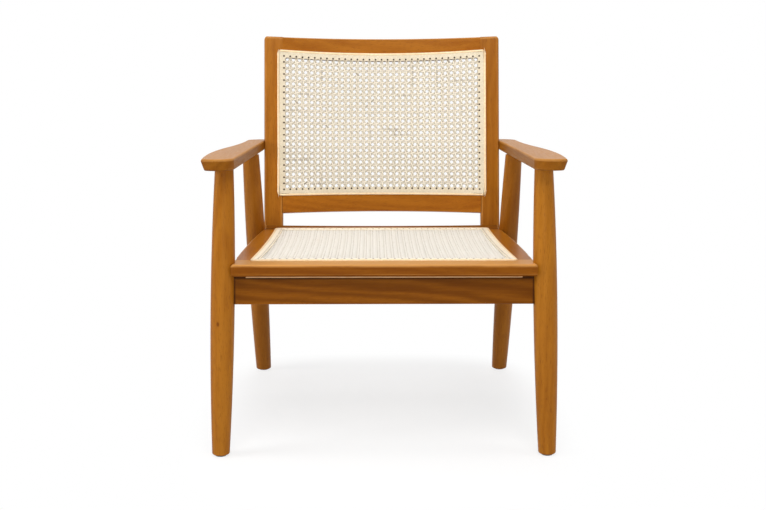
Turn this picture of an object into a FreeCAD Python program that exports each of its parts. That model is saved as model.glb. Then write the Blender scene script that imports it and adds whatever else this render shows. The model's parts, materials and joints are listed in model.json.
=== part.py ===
"""Cane armchair: turned hardwood frame, curved back and cane panels in the seat and back.

Millimetres, +Z up, front of the chair towards -Y, origin on the floor under the middle of the chair.
Left is -X, as seen from the front.
"""

import FreeCAD, Part
import math
import os
import re

import Sketcher
from FreeCAD import Placement, Rotation, Vector

SIZES = {
    # whole chair
    "overall_depth": 684,
    "back_height": 796,
    "overrun": 30,
    "fit_gap": 0.2,
    # front legs
    "front_foot_half": 319,
    "front_splay": 20,
    "front_leg_top_dia": 35,
    "front_leg_belly_dia": 46,
    "front_leg_foot_dia": 34,
    "front_belly_drop": 83,
    # rear legs
    "rear_leg_inset": 32.5,
    "rear_leg_forward": 130,
    "rear_heel": 22,
    "rear_leg_top_dia": 35.5,
    "rear_leg_belly_dia": 43.5,
    "rear_leg_foot_dia": 35,
    "rear_belly_drop": 73,
    "foot_round": 3,
    # glides under the feet
    "glide_dia": 22,
    "glide_thick": 3,
    "glide_nail_dia": 4,
    "glide_nail_length": 14,
    # armrests
    "arm_height": 583.5,
    "arm_tail": 130,
    "arm_drop": 25,
    "arm_thick": 22,
    "arm_overhang": 58,
    "arm_outer_reach": 45,
    "arm_inner_reach": 22,
    "arm_tip_reach": 9,
    "arm_rear_reach": 26.5,
    "arm_joint_forward": 15,
    "arm_nose_inset": 6,
    "arm_nose_back": 13,
    "arm_front_round": 33,
    "arm_waist_inset": 14,
    "arm_waist_back": 300,
    "arm_outer_bend": 1500,
    "arm_waist_bend": 1800,
    "arm_end_bend": 36,
    "arm_rear_round": 34,
    "arm_rear_corner": 26,
    "arm_bevel": 8,
    "arm_round": 4,
    # seat frame
    "seat_height": 383,
    "seat_overhang": 25,
    "seat_depth": 515,
    "seat_drop": 15,
    "seat_front_inset": 30,
    "seat_rear_inset": 19,
    "seat_side_bow": 5.5,
    "seat_thick": 23,
    "seat_round": 5,
    # seat panel
    "seat_panel_front": 46,
    "seat_panel_rear": 24,
    "seat_panel_front_margin": 31.5,
    "seat_panel_rear_margin": 25.5,
    "seat_panel_bow": 4,
    # reed under the seat's front rail
    "reed_dia": 2.6,
    "reed_inset": 28,
    "reed_setback": 7,
    # both cane panels
    "panel_lap": 12,
    "panel_corner": 9,
    "panel_inner_corner": 4,
    "panel_ring": 18,
    "panel_gap": 0.3,
    "cane_frame_thick": 8,
    "cane_thick": 3,
    "binding_thick": 2.5,
    "bead_width": 5,
    "bead_height": 6,
    "bead_round": 2,
    "hole_dia": 3,
    "hole_margin": 3,
    "hole_pitch": 14,
    "band_width": 17,
    "band_pitch": 38,
    # back frame
    "back_lean": 91,
    "back_inset": 17,
    "stile_width": 42.5,
    "stile_thick": 26,
    "stile_drop": 72,
    "stile_round": 5,
    "stile_top_round": 7,
    "rail_thick": 22,
    "rail_round": 2.5,
    "back_bow": 25,
    "top_rail_height": 41,
    "lower_rail_height": 51,
    "lower_rail_rise": 33,
    "lower_rail_arch": 6,
    "back_panel_bow": 4.5,
    # aprons and corner blocks
    "apron_height": 56,
    "apron_thick": 20,
    "apron_setback": 18,
    "side_apron_inset": 32.5,
    "block_side": 60,
    "block_height": 36,
    # dowels
    "dowel_dia": 10,
    "dowel_length": 40,
    "arm_dowel_dia": 12,
    "arm_dowel_length": 42,
    "arm_dowel_reach": 14,
    "cross_dowel_length": 28,
    "frame_dowel_dia": 8,
    "frame_dowel_length": 36,
    # screws
    "screw_dia": 4,
    "screw_head_dia": 8,
    "screw_head_thick": 3,
    "seat_screw_reach": 9,
    "panel_screw_dia": 3,
    "panel_screw_head_dia": 6,
    "panel_screw_head_thick": 2,
    "panel_screw_reach": 6,
    "panel_screw_inset": 6,
    "arm_screw_reach": 28,
    "arm_screw_back": 18,
    "plug_dia": 9,
    "plug_thick": 5,
    # bolts from the stiles into the rear apron
    "bolt_dia": 6,
    "bolt_head_dia": 11,
    "bolt_head_thick": 5,
    "bolt_inset": 10,
    "insert_dia": 9,
    "insert_length": 14,
}

# Half widths and lengths that follow the feet, the seat and one another.
LINKED_SIZES = {
    "front_top_half": "front_foot_half - front_splay",
    "front_belly_height": "seat_height - front_belly_drop",
    "rear_belly_length": "seat_height - rear_belly_drop",
    "rear_leg_half": "front_foot_half - rear_leg_inset",
    "rear_leg_back": "seat_depth - rear_leg_forward",
    "arm_length": "seat_depth + arm_tail",
    "arm_joint_back": "seat_depth - arm_joint_forward",
    "arm_outer_half": "front_top_half + arm_outer_reach",
    "arm_inner_half": "front_top_half - arm_inner_reach",
    "arm_tip_half": "front_top_half + arm_tip_reach",
    "arm_rear_half": "rear_leg_half + arm_rear_reach",
    "seat_front_half": "front_foot_half - seat_front_inset",
    "seat_rear_half": "rear_leg_half - seat_rear_inset",
    "seat_panel_front_half": "seat_front_half - seat_panel_front_margin",
    "seat_panel_rear_half": "seat_rear_half - seat_panel_rear_margin",
    "reed_half": "seat_front_half - reed_inset",
    "back_outer_half": "rear_leg_half - back_inset",
    "side_apron_half": "rear_leg_half - side_apron_inset",
}

# Places along a joint, as shares of the free height or width there.
DOWEL_SHARES = (0.25, 0.75)
REAR_DOWEL_SHARES = (0.18, 0.56)
CROSS_DOWEL_SHARES = (0.8,)
BOLT_SHARES = (0.24, 0.76)
BACK_SCREW_SHARES = (0.6, 0.9)
SEAT_SCREW_SHARES = (0.0, 0.75)

SIDES = {"left": -1, "right": 1}

doc = FreeCAD.newDocument("CaneArmchair")
sheet = doc.addObject("Spreadsheet::Sheet", "Sizes")
contents = {alias: str(number) for alias, number in SIZES.items()}
contents.update({alias: f"={formula}" for alias, formula in LINKED_SIZES.items()})
for row, (alias, content) in enumerate(contents.items(), start=1):
    sheet.set(f"A{row}", alias)
    sheet.set(f"B{row}", content)
    sheet.setAlias(f"B{row}", alias)
doc.recompute()

nodes = {}


# Expressions on the sheet

def cells(text):
    """The expression with every size in it pointed at its cell."""
    return re.sub(r"[a-z_]+", lambda word: f"Sizes.{word[0]}" if word[0] in contents else word[0], text)


def value(text):
    """What the expression comes to with the sheet as it is."""
    return float(sheet.evalExpression(cells(text)))


def bind(item, name, text):
    """Tie one size of an object to the sheet."""
    item.setExpression(name, cells(text))


# Derived sizes, as expressions

FRONT_LEG_Y = "(arm_overhang - overall_depth / 2)"
SEAT_FRONT_Y = f"({FRONT_LEG_Y} - seat_overhang)"
BACK_RISE = "(back_height - seat_height + seat_drop)"
BACK_TOP = f"sqrt({BACK_RISE}^2 + back_lean^2)"
BACK_INNER = "(back_outer_half - stile_width)"
BACK_RADIUS = f"(({BACK_INNER}^2 + back_bow^2) / (2 * back_bow))"
BACK_PANEL_HALF = f"({BACK_INNER} + panel_lap)"
BACK_PANEL_LOW = "(lower_rail_rise + lower_rail_height - panel_lap)"
BACK_PANEL_HIGH = f"({BACK_TOP} - top_rail_height + panel_lap)"
PANEL_DEPTH = "(cane_frame_thick + cane_thick + panel_gap)"
BINDING_PROUD = "(binding_thick - panel_gap)"
REAR_RUN = "(overall_depth - rear_heel - arm_overhang - rear_leg_back)"
REAR_RISE = "(arm_height - arm_thick - arm_drop * rear_leg_back / arm_length)"


# Frames that the pieces lie in

def lean(angle):
    """A turn that tips the upper end back towards +Y."""
    return Rotation(Vector(1, 0, 0), -math.degrees(angle))


def seat_frame():
    """X across, Y back along the seat from its front edge, Z out of its top face."""
    turn = lean(math.asin(value("seat_drop / seat_depth")))
    return Placement(Vector(0, value(SEAT_FRONT_Y), value("seat_height")), turn)


def back_frame():
    """X across, Y back through the frame, Z up its front face from the seat's rear edge."""
    base = seat_frame().multVec(Vector(0, value("seat_depth"), 0))
    return Placement(base, lean(math.atan2(value("back_lean"), value(BACK_RISE))))


def arm_frame():
    """X across, Y back along the armrest from the front leg's axis, Z out of its top face."""
    turn = lean(math.asin(value("arm_drop / arm_length")))
    return Placement(Vector(0, value(FRONT_LEG_Y), value("arm_height")), turn)


def leg_frame(end, side):
    """Z up the leg's axis, from its centre on the floor to the armrest's underside."""
    if end == "front":
        foot = Vector(side * value("front_foot_half"), value(FRONT_LEG_Y), 0)
        top = Vector(side * value("front_top_half"), 0, -value("arm_thick"))
    else:
        foot = Vector(side * value("rear_leg_half"), value("overall_depth / 2 - rear_heel"), 0)
        top = Vector(side * value("rear_leg_half"), value("rear_leg_back"), -value("arm_thick"))
    axis = arm_frame().multVec(top) - foot
    return Placement(foot, Rotation(Vector(0, 0, 1), axis))


SEAT, BACK, ARM = seat_frame(), back_frame(), arm_frame()
ALONG_X = Rotation(Vector(0, 1, 0), 90)
ALONG_Y = Rotation(Vector(1, 0, 0), -90)
UPRIGHT = Rotation()
QUARTER_TURN = Rotation(Vector(0, 0, 1), 90)


# Building blocks

def arc_between(start, end, radius, turn):
    """The short arc from start to end, turning left for turn 1 and right for turn -1."""
    chord = end - start
    rise = math.sqrt(radius ** 2 - (chord.Length / 2) ** 2)
    centre = (start + end) / 2 + Vector(-chord.y, chord.x, 0) * (turn * rise / chord.Length)
    first, last = (start, end) if turn > 0 else (end, start)
    angles = [math.atan2(point.y - centre.y, point.x - centre.x) for point in (first, last)]
    return Part.ArcOfCircle(Part.Circle(centre, Vector(0, 0, 1), radius), *angles)


def pin_point(sketch, edge, end, across, up):
    """Hold one sketch point at two expressions."""
    for kind, axis, text in (("DistanceX", -2, across), ("DistanceY", -1, up)):
        if text == "0":
            sketch.addConstraint(Sketcher.Constraint("PointOnObject", edge, end, axis))
            continue
        index = sketch.addConstraint(Sketcher.Constraint(kind, -1, 1, edge, end, value(text)))
        bind(sketch, f"Constraints[{index}]", text)


def outline_sketch(body, name, plane, path, offset="0"):
    """A closed outline of lines and arcs on one of the body's own planes.

    Each corner of the path is (x, y) or (x, y, radius, turn), where the radius bends the edge
    that leaves it.
    """
    sketch = body.newObject("Sketcher::SketchObject", name)
    support = next(item for item in body.Origin.OriginFeatures if item.Role == plane)
    sketch.AttachmentSupport = [(support, "")]
    sketch.MapMode = "FlatFace"
    bind(sketch, "AttachmentOffset.Base.z", offset)
    points = [Vector(value(corner[0]), value(corner[1]), 0) for corner in path]
    starts = []
    for index, corner in enumerate(path):
        start, end = points[index], points[(index + 1) % len(points)]
        if len(corner) == 2:
            sketch.addGeometry(Part.LineSegment(start, end), False)
            starts.append(1)
        else:
            sketch.addGeometry(arc_between(start, end, value(corner[2]), corner[3]), False)
            starts.append(1 if corner[3] > 0 else 2)
    for index, corner in enumerate(path):
        before = index - 1 if index else len(path) - 1
        joined = (before, 3 - starts[before], index, starts[index])
        sketch.addConstraint(Sketcher.Constraint("Coincident", *joined))
        pin_point(sketch, index, starts[index], corner[0], corner[1])
        if len(corner) > 2:
            bend = sketch.addConstraint(Sketcher.Constraint("Radius", index, value(corner[2])))
            bind(sketch, f"Constraints[{bend}]", corner[2])
    return sketch


def padded(name, plane, path, length, offset="0", back=False):
    """A body made by padding an outline."""
    body = doc.addObject("PartDesign::Body", name)
    pad = body.newObject("PartDesign::Pad", f"{name}_pad")
    pad.Profile = outline_sketch(body, f"{name}_outline", plane, path, offset)
    pad.Reversed = back
    bind(pad, "Length", length)
    doc.recompute()
    return body


def rounded(body, name, radius, choose):
    """Round the edges of a body that the choose function picks."""
    tip = body.Tip
    picked = [f"Edge{i}" for i, edge in enumerate(tip.Shape.Edges, start=1) if choose(edge)]
    fillet = body.newObject("PartDesign::Fillet", name)
    fillet.Base = (tip, picked)
    bind(fillet, "Radius", radius)
    doc.recompute()
    return body


def box(name, frame, corner, lengths):
    """A block in a frame, from its lowest corner and its three lengths."""
    block = doc.addObject("Part::Box", name)
    for prop, text in zip(("Length", "Width", "Height"), lengths):
        bind(block, prop, text)
    block.Placement = frame.multiply(Placement(Vector(*(value(text) for text in corner)), UPRIGHT))
    return block


def rod(name, frame, centre, turn, radius, length):
    """A round bar about a centre point in a frame, along the turned Z axis."""
    bar = doc.addObject("Part::Cylinder", name)
    bind(bar, "Radius", radius)
    bind(bar, "Height", length)
    start = centre - turn.multVec(Vector(0, 0, value(length) / 2))
    bar.Placement = frame.multiply(Placement(start, turn))
    return bar


def group(name, items):
    """Several solids side by side as one object."""
    compound = doc.addObject("Part::Compound", name)
    compound.Links = items
    return compound


def cut(name, base, tools):
    """The base with every tool taken out of it."""
    result = doc.addObject("Part::Cut", name)
    result.Base = base
    result.Tool = tools[0] if len(tools) == 1 else group(f"{name}_tools", tools)
    doc.recompute()
    return result


def bored(name, base, bores):
    """The base with its bores taken out one after another."""
    for index, bore in enumerate(bores):
        base = cut(f"{name}_bored_{index}", base, [bore])
    return base


def common(name, first, second):
    """What two shapes share."""
    result = doc.addObject("Part::Common", name)
    result.Base = first
    result.Tool = second
    doc.recompute()
    return result


def keep(name, item):
    """Name a finished sub-part."""
    item.Label = name
    nodes[name] = item


def steps(shares, low, high):
    """Places between two expressions, at the given shares of the way."""
    return [value(low) + share * (value(high) - value(low)) for share in shares]


def doweled(name, frame, centres, turn, dia, length):
    """A set of dowels, and the bores that take them."""
    pins = []
    bores = []
    for index, centre in enumerate(centres):
        pins.append(rod(f"{name}_{index}", frame, centre, turn,
                        f"{dia} / 2 - fit_gap / 2", f"{length} - fit_gap"))
        bores.append(rod(f"{name}_bore_{index}", frame, centre, turn, f"{dia} / 2", length))
    keep(name, group(name, pins))
    return bores


# Legs

def leg_blank(name, end, side, grow):
    """The turned leg: a belly between a slim top and foot, run on past both ends for trimming."""
    foot, belly, top = (f"({end}_leg_{part}_dia / 2 + {grow})" for part in ("foot", "belly", "top"))
    if end == "front":
        reach, swell = "(arm_height - arm_thick)", "front_belly_height"
    else:
        reach, swell = f"sqrt({REAR_RUN}^2 + {REAR_RISE}^2)", "rear_belly_length"
    low_bend = f"(({swell}^2 + ({belly} - {foot})^2) / (2 * ({belly} - {foot})))"
    high_bend = f"((({reach} - {swell})^2 + ({belly} - {top})^2) / (2 * ({belly} - {top})))"
    low_end = f"{belly} - {low_bend} + sqrt({low_bend}^2 - ({swell} + overrun)^2)"
    high_end = f"{belly} - {high_bend} + sqrt({high_bend}^2 - ({reach} - {swell} + overrun)^2)"
    profile = [
        ("0", "-overrun"),
        (low_end, "-overrun", low_bend, 1),
        (belly, swell, high_bend, 1),
        (high_end, f"{reach} + overrun"),
        ("0", f"{reach} + overrun"),
    ]
    body = doc.addObject("PartDesign::Body", name)
    turning = body.newObject("PartDesign::Revolution", f"{name}_turning")
    sketch = outline_sketch(body, f"{name}_profile", "XZ_Plane", profile)
    turning.Profile = sketch
    turning.ReferenceAxis = (sketch, ["V_Axis"])
    body.Placement = leg_frame(end, side).multiply(Placement(Vector(), QUARTER_TURN))
    doc.recompute()
    return body


def waste_slab(name, frame, height, below):
    """A slab wide enough to trim every leg at one level."""
    low = f"{height} - 2 * overrun" if below else height
    corner = ("-2 * arm_outer_half", "-overall_depth", low)
    return box(name, frame, corner, ("4 * arm_outer_half", "2 * overall_depth", "2 * overrun"))


def leg(end, name, side, trims, bores):
    """One leg: trimmed to the floor and the armrest, rounded at the foot, bored for its joints."""
    node = f"{end}_leg_{name}"
    trimmed = cut(f"{node}_trimmed", leg_blank(f"{node}_blank", end, side, "0"), trims)
    floor = value("glide_thick")
    foot_edge = [
        index for index, edge in enumerate(trimmed.Shape.Edges, start=1)
        if abs(edge.BoundBox.ZMax - floor) < value("fit_gap") and edge.Length > value("glide_dia")
    ]
    softened = doc.addObject("Part::Fillet", f"{node}_softened")
    softened.Base = trimmed
    softened.Edges = [(index, value("foot_round"), value("foot_round")) for index in foot_edge]
    doc.recompute()
    keep(node, cut(node, softened, bores))


def arm_dowel(end, side):
    """Middle of the dowel between a leg and its armrest, in the leg's own frame."""
    top = ARM.multVec(Vector(0, 0 if end == "front" else value("rear_leg_back"), -value("arm_thick")))
    frame = leg_frame(end, side)
    reach = frame.inverse().multVec(Vector(frame.Base.x, top.y, top.z)).z
    return frame, Vector(0, 0, reach + value("arm_dowel_reach - arm_dowel_length / 2"))


def glide(index, frame):
    """A disc under one foot with the nail that holds it; the bore for the nail comes second."""
    foot = Placement(frame.Base, UPRIGHT)
    disc = rod(f"glide_disc_{index}", foot, Vector(0, 0, value("glide_thick / 2")), UPRIGHT,
               "glide_dia / 2", "glide_thick")
    middle = Vector(0, 0, value("(glide_thick + glide_nail_length) / 2"))
    nail = rod(f"glide_nail_{index}", foot, middle, UPRIGHT,
               "glide_nail_dia / 2", "glide_thick + glide_nail_length")
    bore = rod(f"glide_bore_{index}", foot, middle, UPRIGHT,
               "glide_nail_dia / 2 + fit_gap / 2", "glide_thick + glide_nail_length + fit_gap")
    whole = doc.addObject("Part::Fuse", f"glide_{index}")
    whole.Base = disc
    whole.Tool = nail
    return whole, bore


# Armrests

def arm_path(side, inset):
    """The armrest seen from above; the inset draws its outer and end edges in."""
    def across(text):
        return f"{side} * ({text})"

    rear = f"arm_length - arm_overhang - {inset} / 2"
    return [
        (across("back_outer_half"), rear),
        (across("back_outer_half"), "arm_joint_back"),
        (across("arm_inner_half"), "arm_front_round - arm_overhang", "arm_end_bend", side),
        (across("arm_tip_half"), f"{inset} / 2 - arm_overhang", "arm_end_bend", side),
        (across(f"arm_outer_half - arm_nose_inset - {inset}"), "arm_nose_back - arm_overhang",
         "arm_outer_bend", side),
        (across(f"arm_outer_half - arm_waist_inset - {inset}"), "arm_waist_back", "arm_waist_bend", -side),
        (across(f"arm_rear_half - {inset}"), f"{rear} - arm_rear_round", "arm_end_bend", side),
        (across(f"arm_rear_half - arm_rear_corner - {inset}"), rear),
    ]


def armrest(name, side, bores):
    """A flat arm with an undercut outer edge, eased along its top and bottom."""
    node = f"armrest_{name}"
    body = doc.addObject("PartDesign::Body", f"{node}_blank")
    loft = body.newObject("PartDesign::AdditiveLoft", f"{node}_loft")
    loft.Profile = outline_sketch(body, f"{node}_top", "XY_Plane", arm_path(side, "0"))
    under = arm_path(side, "arm_bevel")
    loft.Sections = [outline_sketch(body, f"{node}_under", "XY_Plane", under, "-arm_thick")]
    loft.Ruled = True
    doc.recompute()
    rounded(body, f"{node}_eased", "arm_round", lambda edge: edge.BoundBox.ZLength < value("fit_gap"))
    body.Placement = ARM
    doc.recompute()
    keep(node, cut(node, body, bores))


# Seat

def seat_blank():
    """The whole seat frame's outline as one board, with its front and side edges eased."""
    half_bow = "((seat_depth / 2)^2 + seat_side_bow^2) / (2 * seat_side_bow)"
    path = [
        ("-seat_front_half", "0"),
        ("seat_front_half", "0", half_bow, 1),
        ("seat_rear_half", "seat_depth"),
        ("-seat_rear_half", "seat_depth", half_bow, 1),
    ]
    body = padded("seat_board", "XY_Plane", path, "seat_thick", back=True)

    def front_or_side(edge):
        bounds = edge.BoundBox
        return bounds.ZLength < value("fit_gap") and bounds.YMin < value("seat_depth - overrun")

    rounded(body, "seat_board_eased", "seat_round", front_or_side)
    body.Placement = SEAT
    doc.recompute()
    return body


def seat_panel_prism(name, inset, low, high, corner):
    """The seat panel's outline, drawn in by an inset, between two heights over the top face."""
    front, rear = f"(seat_panel_front + {inset})", f"(seat_depth - seat_panel_rear - {inset})"
    front_half, rear_half = f"(seat_panel_front_half - {inset})", f"(seat_panel_rear_half - {inset})"
    bend = f"((({rear} - {front}) / 2)^2 + seat_panel_bow^2) / (2 * seat_panel_bow)"
    path = [
        (f"-{front_half}", front),
        (front_half, front, bend, -1),
        (rear_half, rear),
        (f"-{rear_half}", rear, bend, -1),
    ]
    body = padded(name, "XY_Plane", path, f"{high} - ({low})", offset=low)
    rounded(body, f"{name}_corners", corner, lambda edge: edge.BoundBox.ZLength > value("fit_gap"))
    body.Placement = SEAT
    doc.recompute()
    return body


def seat_holes():
    """Places of the small holes along the binding, in the seat's frame, a pitch apart or less."""
    inset = value("panel_ring - hole_margin")
    front, rear = value("seat_panel_front") + inset, value("seat_depth - seat_panel_rear") - inset
    front_half, rear_half = value("seat_panel_front_half") - inset, value("seat_panel_rear_half") - inset
    places = []
    for half, depth in ((front_half, front), (rear_half, rear)):
        count = math.ceil(2 * half / value("hole_pitch"))
        places += [Vector(half * (2 * i / count - 1), depth, 0) for i in range(count + 1)]
    count = math.ceil((rear - front) / value("hole_pitch"))
    for index in range(1, count):
        share = index / count
        bow = 4 * share * (1 - share) * value("seat_panel_bow")
        half = front_half + share * (rear_half - front_half) - bow
        places += [Vector(side * half, front + share * (rear - front), 0) for side in SIDES.values()]
    return places


def drilled(name, blank, frame, places, turn):
    """A binding with its row of small holes."""
    radius, length = value("hole_dia / 2"), value("2 * overrun")
    tool = doc.addObject("Part::Feature", f"{name}_drills")
    start = turn.multVec(Vector(0, 0, -length / 2))
    axis = turn.multVec(Vector(0, 0, 1))
    tool.Shape = Part.makeCompound([Part.makeCylinder(radius, length, spot + start, axis) for spot in places])
    tool.Placement = frame
    keep(name, cut(name, blank, [tool]))


def webbing(name, blank, frame, half, low, high):
    """A cane sheet opened by an even grid of holes, with its strands drawn together into bands."""
    columns, rows = (math.ceil(span / value("band_pitch")) for span in (2 * half, high - low))
    across, along = 2 * half / columns, (high - low) / rows
    band, depth = value("band_width"), value("2 * overrun")
    first = Vector(band / 2 - half, band / 2 + low, -depth / 2)
    tool = doc.addObject("Part::Feature", f"{name}_openings")
    tool.Shape = Part.makeCompound([
        Part.makeBox(across - band, along - band, depth, first + Vector(column * across, row * along, 0))
        for column in range(columns) for row in range(rows)])
    tool.Placement = frame
    keep(name, cut(name, blank, [tool]))


def seat_panel(screw_holes):
    """The cane panel of the seat: sub-frame, webbing, binding and edge bead, from the bottom up."""
    ring_low, web_low, web_high = f"-{PANEL_DEPTH}", "-(cane_thick + panel_gap)", "-panel_gap"
    inner = seat_panel_prism("seat_ring_inside", "panel_ring", "-overrun", "overrun", "panel_inner_corner")
    frame = seat_panel_prism("seat_ring", "0", ring_low, web_low, "panel_corner")
    keep("seat_cane_frame", cut("seat_cane_frame", cut("seat_ring_open", frame, [inner]), screw_holes))
    web = seat_panel_prism("seat_web", "(bead_width + panel_gap)", web_low, web_high, "panel_inner_corner")
    half = min(value("seat_panel_front_half"), value("seat_panel_rear_half"))
    webbing("seat_cane_webbing", web, SEAT, half - value("panel_ring + seat_panel_bow"),
            value("seat_panel_front + panel_ring"), value("seat_depth - seat_panel_rear - panel_ring"))
    strip = seat_panel_prism("seat_strip", "bead_width", web_high, BINDING_PROUD, "panel_inner_corner")
    binding = cut("seat_binding_blank", strip, [inner])
    drilled("seat_cane_binding", binding, SEAT, seat_holes(), UPRIGHT)
    bead = seat_panel_prism("seat_bead_blank", "0", web_low, f"bead_height + {web_low}", "panel_corner")
    top = value(f"bead_height + {web_low}")
    rounded(bead, "seat_bead_round", "bead_round", lambda edge: edge.BoundBox.ZMin > top - value("fit_gap"))
    hollow = seat_panel_prism("seat_bead_inside", "bead_width", "-overrun", "overrun", "panel_inner_corner")
    keep("seat_edge_bead", cut("seat_edge_bead", bead, [hollow]))


def seat_rails(notches, front_bores, rear_bores, side_bores):
    """Front, rear and side rails cut from one board outline, rebated for the panel."""
    board = seat_blank()
    recess = seat_panel_prism("seat_recess", "(-panel_gap)", f"-{PANEL_DEPTH}", "overrun", "panel_corner")
    low = "-2 * seat_thick"
    opening = seat_panel_prism("seat_opening", "panel_lap", low, "overrun", "panel_inner_corner")
    front, rear = "(seat_panel_front + panel_lap)", "(seat_depth - seat_panel_rear - panel_lap)"
    wide, half = "4 * seat_front_half", "2 * seat_front_half"
    zones = {
        "seat_front_rail": (f"-{half}", "-overrun", wide, f"{front} + overrun"),
        "seat_rear_rail": (f"-{half}", rear, wide, "overrun + panel_lap + seat_panel_rear"),
        "seat_side_rail_left": (f"-{half}", front, half, f"{rear} - {front}"),
        "seat_side_rail_right": ("0", front, half, f"{rear} - {front}"),
    }
    bores = {"seat_front_rail": front_bores, "seat_rear_rail": rear_bores}
    for node, (across, depth, width, length) in zones.items():
        zone = box(f"{node}_zone", SEAT, (across, depth, low), (width, length, "3 * seat_thick"))
        piece = common(f"{node}_blank", board, zone)
        for index, tool in enumerate([recess, *notches, *([opening] if "side" in node else [])]):
            piece = cut(f"{node}_cut_{index}", piece, [tool])
        keep(node, cut(node, piece, bores.get(node, side_bores)))


# Back

def back_shell(name, near, far, low, high):
    """A curved layer of the back, between two depths behind the rails' front face."""
    half = "back_outer_half"

    def depth(layer):
        return f"back_bow - {BACK_RADIUS} + sqrt(({BACK_RADIUS} + {layer})^2 - {half}^2)"

    path = [
        (f"-{half}", depth(near), f"{BACK_RADIUS} + {near}", -1),
        (half, depth(near)),
        (half, depth(far), f"{BACK_RADIUS} + {far}", 1),
        (f"-{half}", depth(far)),
    ]
    body = padded(name, "XY_Plane", path, f"{high} - ({low})", offset=low)
    body.Placement = BACK
    doc.recompute()
    return body


def back_panel_prism(name, inset, corner):
    """The back panel's outline seen from the front, drawn in by an inset, right through the back."""
    half = f"({BACK_PANEL_HALF} - {inset})"
    low, high = f"({BACK_PANEL_LOW} + {inset})", f"({BACK_PANEL_HIGH} - {inset})"
    bend = f"({half}^2 + back_panel_bow^2) / (2 * back_panel_bow)"
    path = [
        (f"-{half}", low, bend, -1),
        (half, low),
        (half, high, bend, -1),
        (f"-{half}", high),
    ]
    body = padded(name, "XZ_Plane", path, "4 * overrun", offset="-3 * overrun")
    rounded(body, f"{name}_corners", corner, lambda edge: edge.BoundBox.YLength > value("overrun"))
    body.Placement = BACK
    doc.recompute()
    return body


def back_layer(name, prism, near, far):
    """The part of a curved layer that lies inside a panel outline."""
    shell = back_shell(f"{name}_layer", near, far, "0", BACK_TOP)
    return common(f"{name}_sheet", prism, shell)


def back_holes():
    """Places of the small holes along the binding, in the back's frame, a pitch apart or less."""
    inset = value("panel_ring - hole_margin")
    half = value(BACK_PANEL_HALF) - inset
    low, high = value(BACK_PANEL_LOW) + inset, value(BACK_PANEL_HIGH) - inset
    places = []
    count = math.ceil((high - low) / value("hole_pitch"))
    for side in SIDES.values():
        places += [Vector(side * half, 0, low + (high - low) * i / count) for i in range(count + 1)]
    count = math.ceil(2 * half / value("hole_pitch"))
    for index in range(1, count):
        share = index / count
        bow = 4 * share * (1 - share) * value("back_panel_bow")
        across = half * (2 * share - 1)
        places += [Vector(across, 0, low + bow), Vector(across, 0, high - bow)]
    return places


def back_panel(screw_holes):
    """The cane panel of the back: sub-frame, webbing, binding and edge bead, from behind forwards."""
    outer = back_panel_prism("back_ring_outside", "0", "panel_corner")
    inner = back_panel_prism("back_ring_inside", "panel_ring", "panel_inner_corner")
    middle = back_panel_prism("back_bead_inside", "bead_width", "panel_inner_corner")
    web = back_panel_prism("back_web_outline", "(bead_width + panel_gap)", "panel_inner_corner")
    front, behind = "panel_gap", "(panel_gap + cane_thick)"
    ring = back_layer("back_ring", outer, behind, PANEL_DEPTH)
    keep("back_cane_frame", cut("back_cane_frame", cut("back_ring_open", ring, [inner]), screw_holes))
    upright = BACK.multiply(Placement(Vector(), ALONG_Y.inverted()))
    webbing("back_cane_webbing", back_layer("back_web", web, front, behind), upright,
            value(f"{BACK_PANEL_HALF} - panel_ring"),
            value(f"{BACK_PANEL_LOW} + panel_ring + back_panel_bow"),
            value(f"{BACK_PANEL_HIGH} - panel_ring - back_panel_bow"))
    strip = back_layer("back_strip", middle, f"(-{BINDING_PROUD})", front)
    binding = cut("back_binding_blank", strip, [inner])
    drilled("back_cane_binding", binding, BACK, back_holes(), ALONG_Y)
    bead = back_layer("back_bead", outer, f"({behind} - bead_height)", behind)
    keep("back_edge_bead", cut("back_edge_bead", bead, [middle]))


def back_recess():
    """The rebate that takes the back panel."""
    outline = back_panel_prism("back_recess_outline", "(-panel_gap)", "panel_corner")
    return back_layer("back_recess", outline, "(-2 * overrun)", PANEL_DEPTH)


def stile(name, side, tools):
    """An upright of the back, from below the seat to the top, with eased edges."""
    node = f"back_stile_{name}"
    inner, outer = f"{side} * {BACK_INNER}", f"{side} * back_outer_half"
    path = [(inner, "0"), (outer, "0"), (outer, "stile_thick"), (inner, "stile_thick")]
    body = padded(f"{node}_blank", "XY_Plane", path, f"{BACK_TOP} + stile_drop", offset="-stile_drop")
    corner_x, corner_z = side * value("back_outer_half"), value(BACK_TOP)

    def top_outer(edge):
        centre = edge.CenterOfMass
        return abs(centre.x - corner_x) + abs(centre.z - corner_z) < value("fit_gap")

    rounded(body, f"{node}_crown", "stile_top_round", top_outer)
    rounded(body, f"{node}_eased", "stile_round",
            lambda edge: edge.BoundBox.ZLength > value("overrun"))
    body.Placement = BACK
    doc.recompute()
    piece = body
    for index, tool in enumerate(tools):
        piece = cut(f"{node}_cut_{index}", piece, [tool])
    keep(node, piece)


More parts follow.
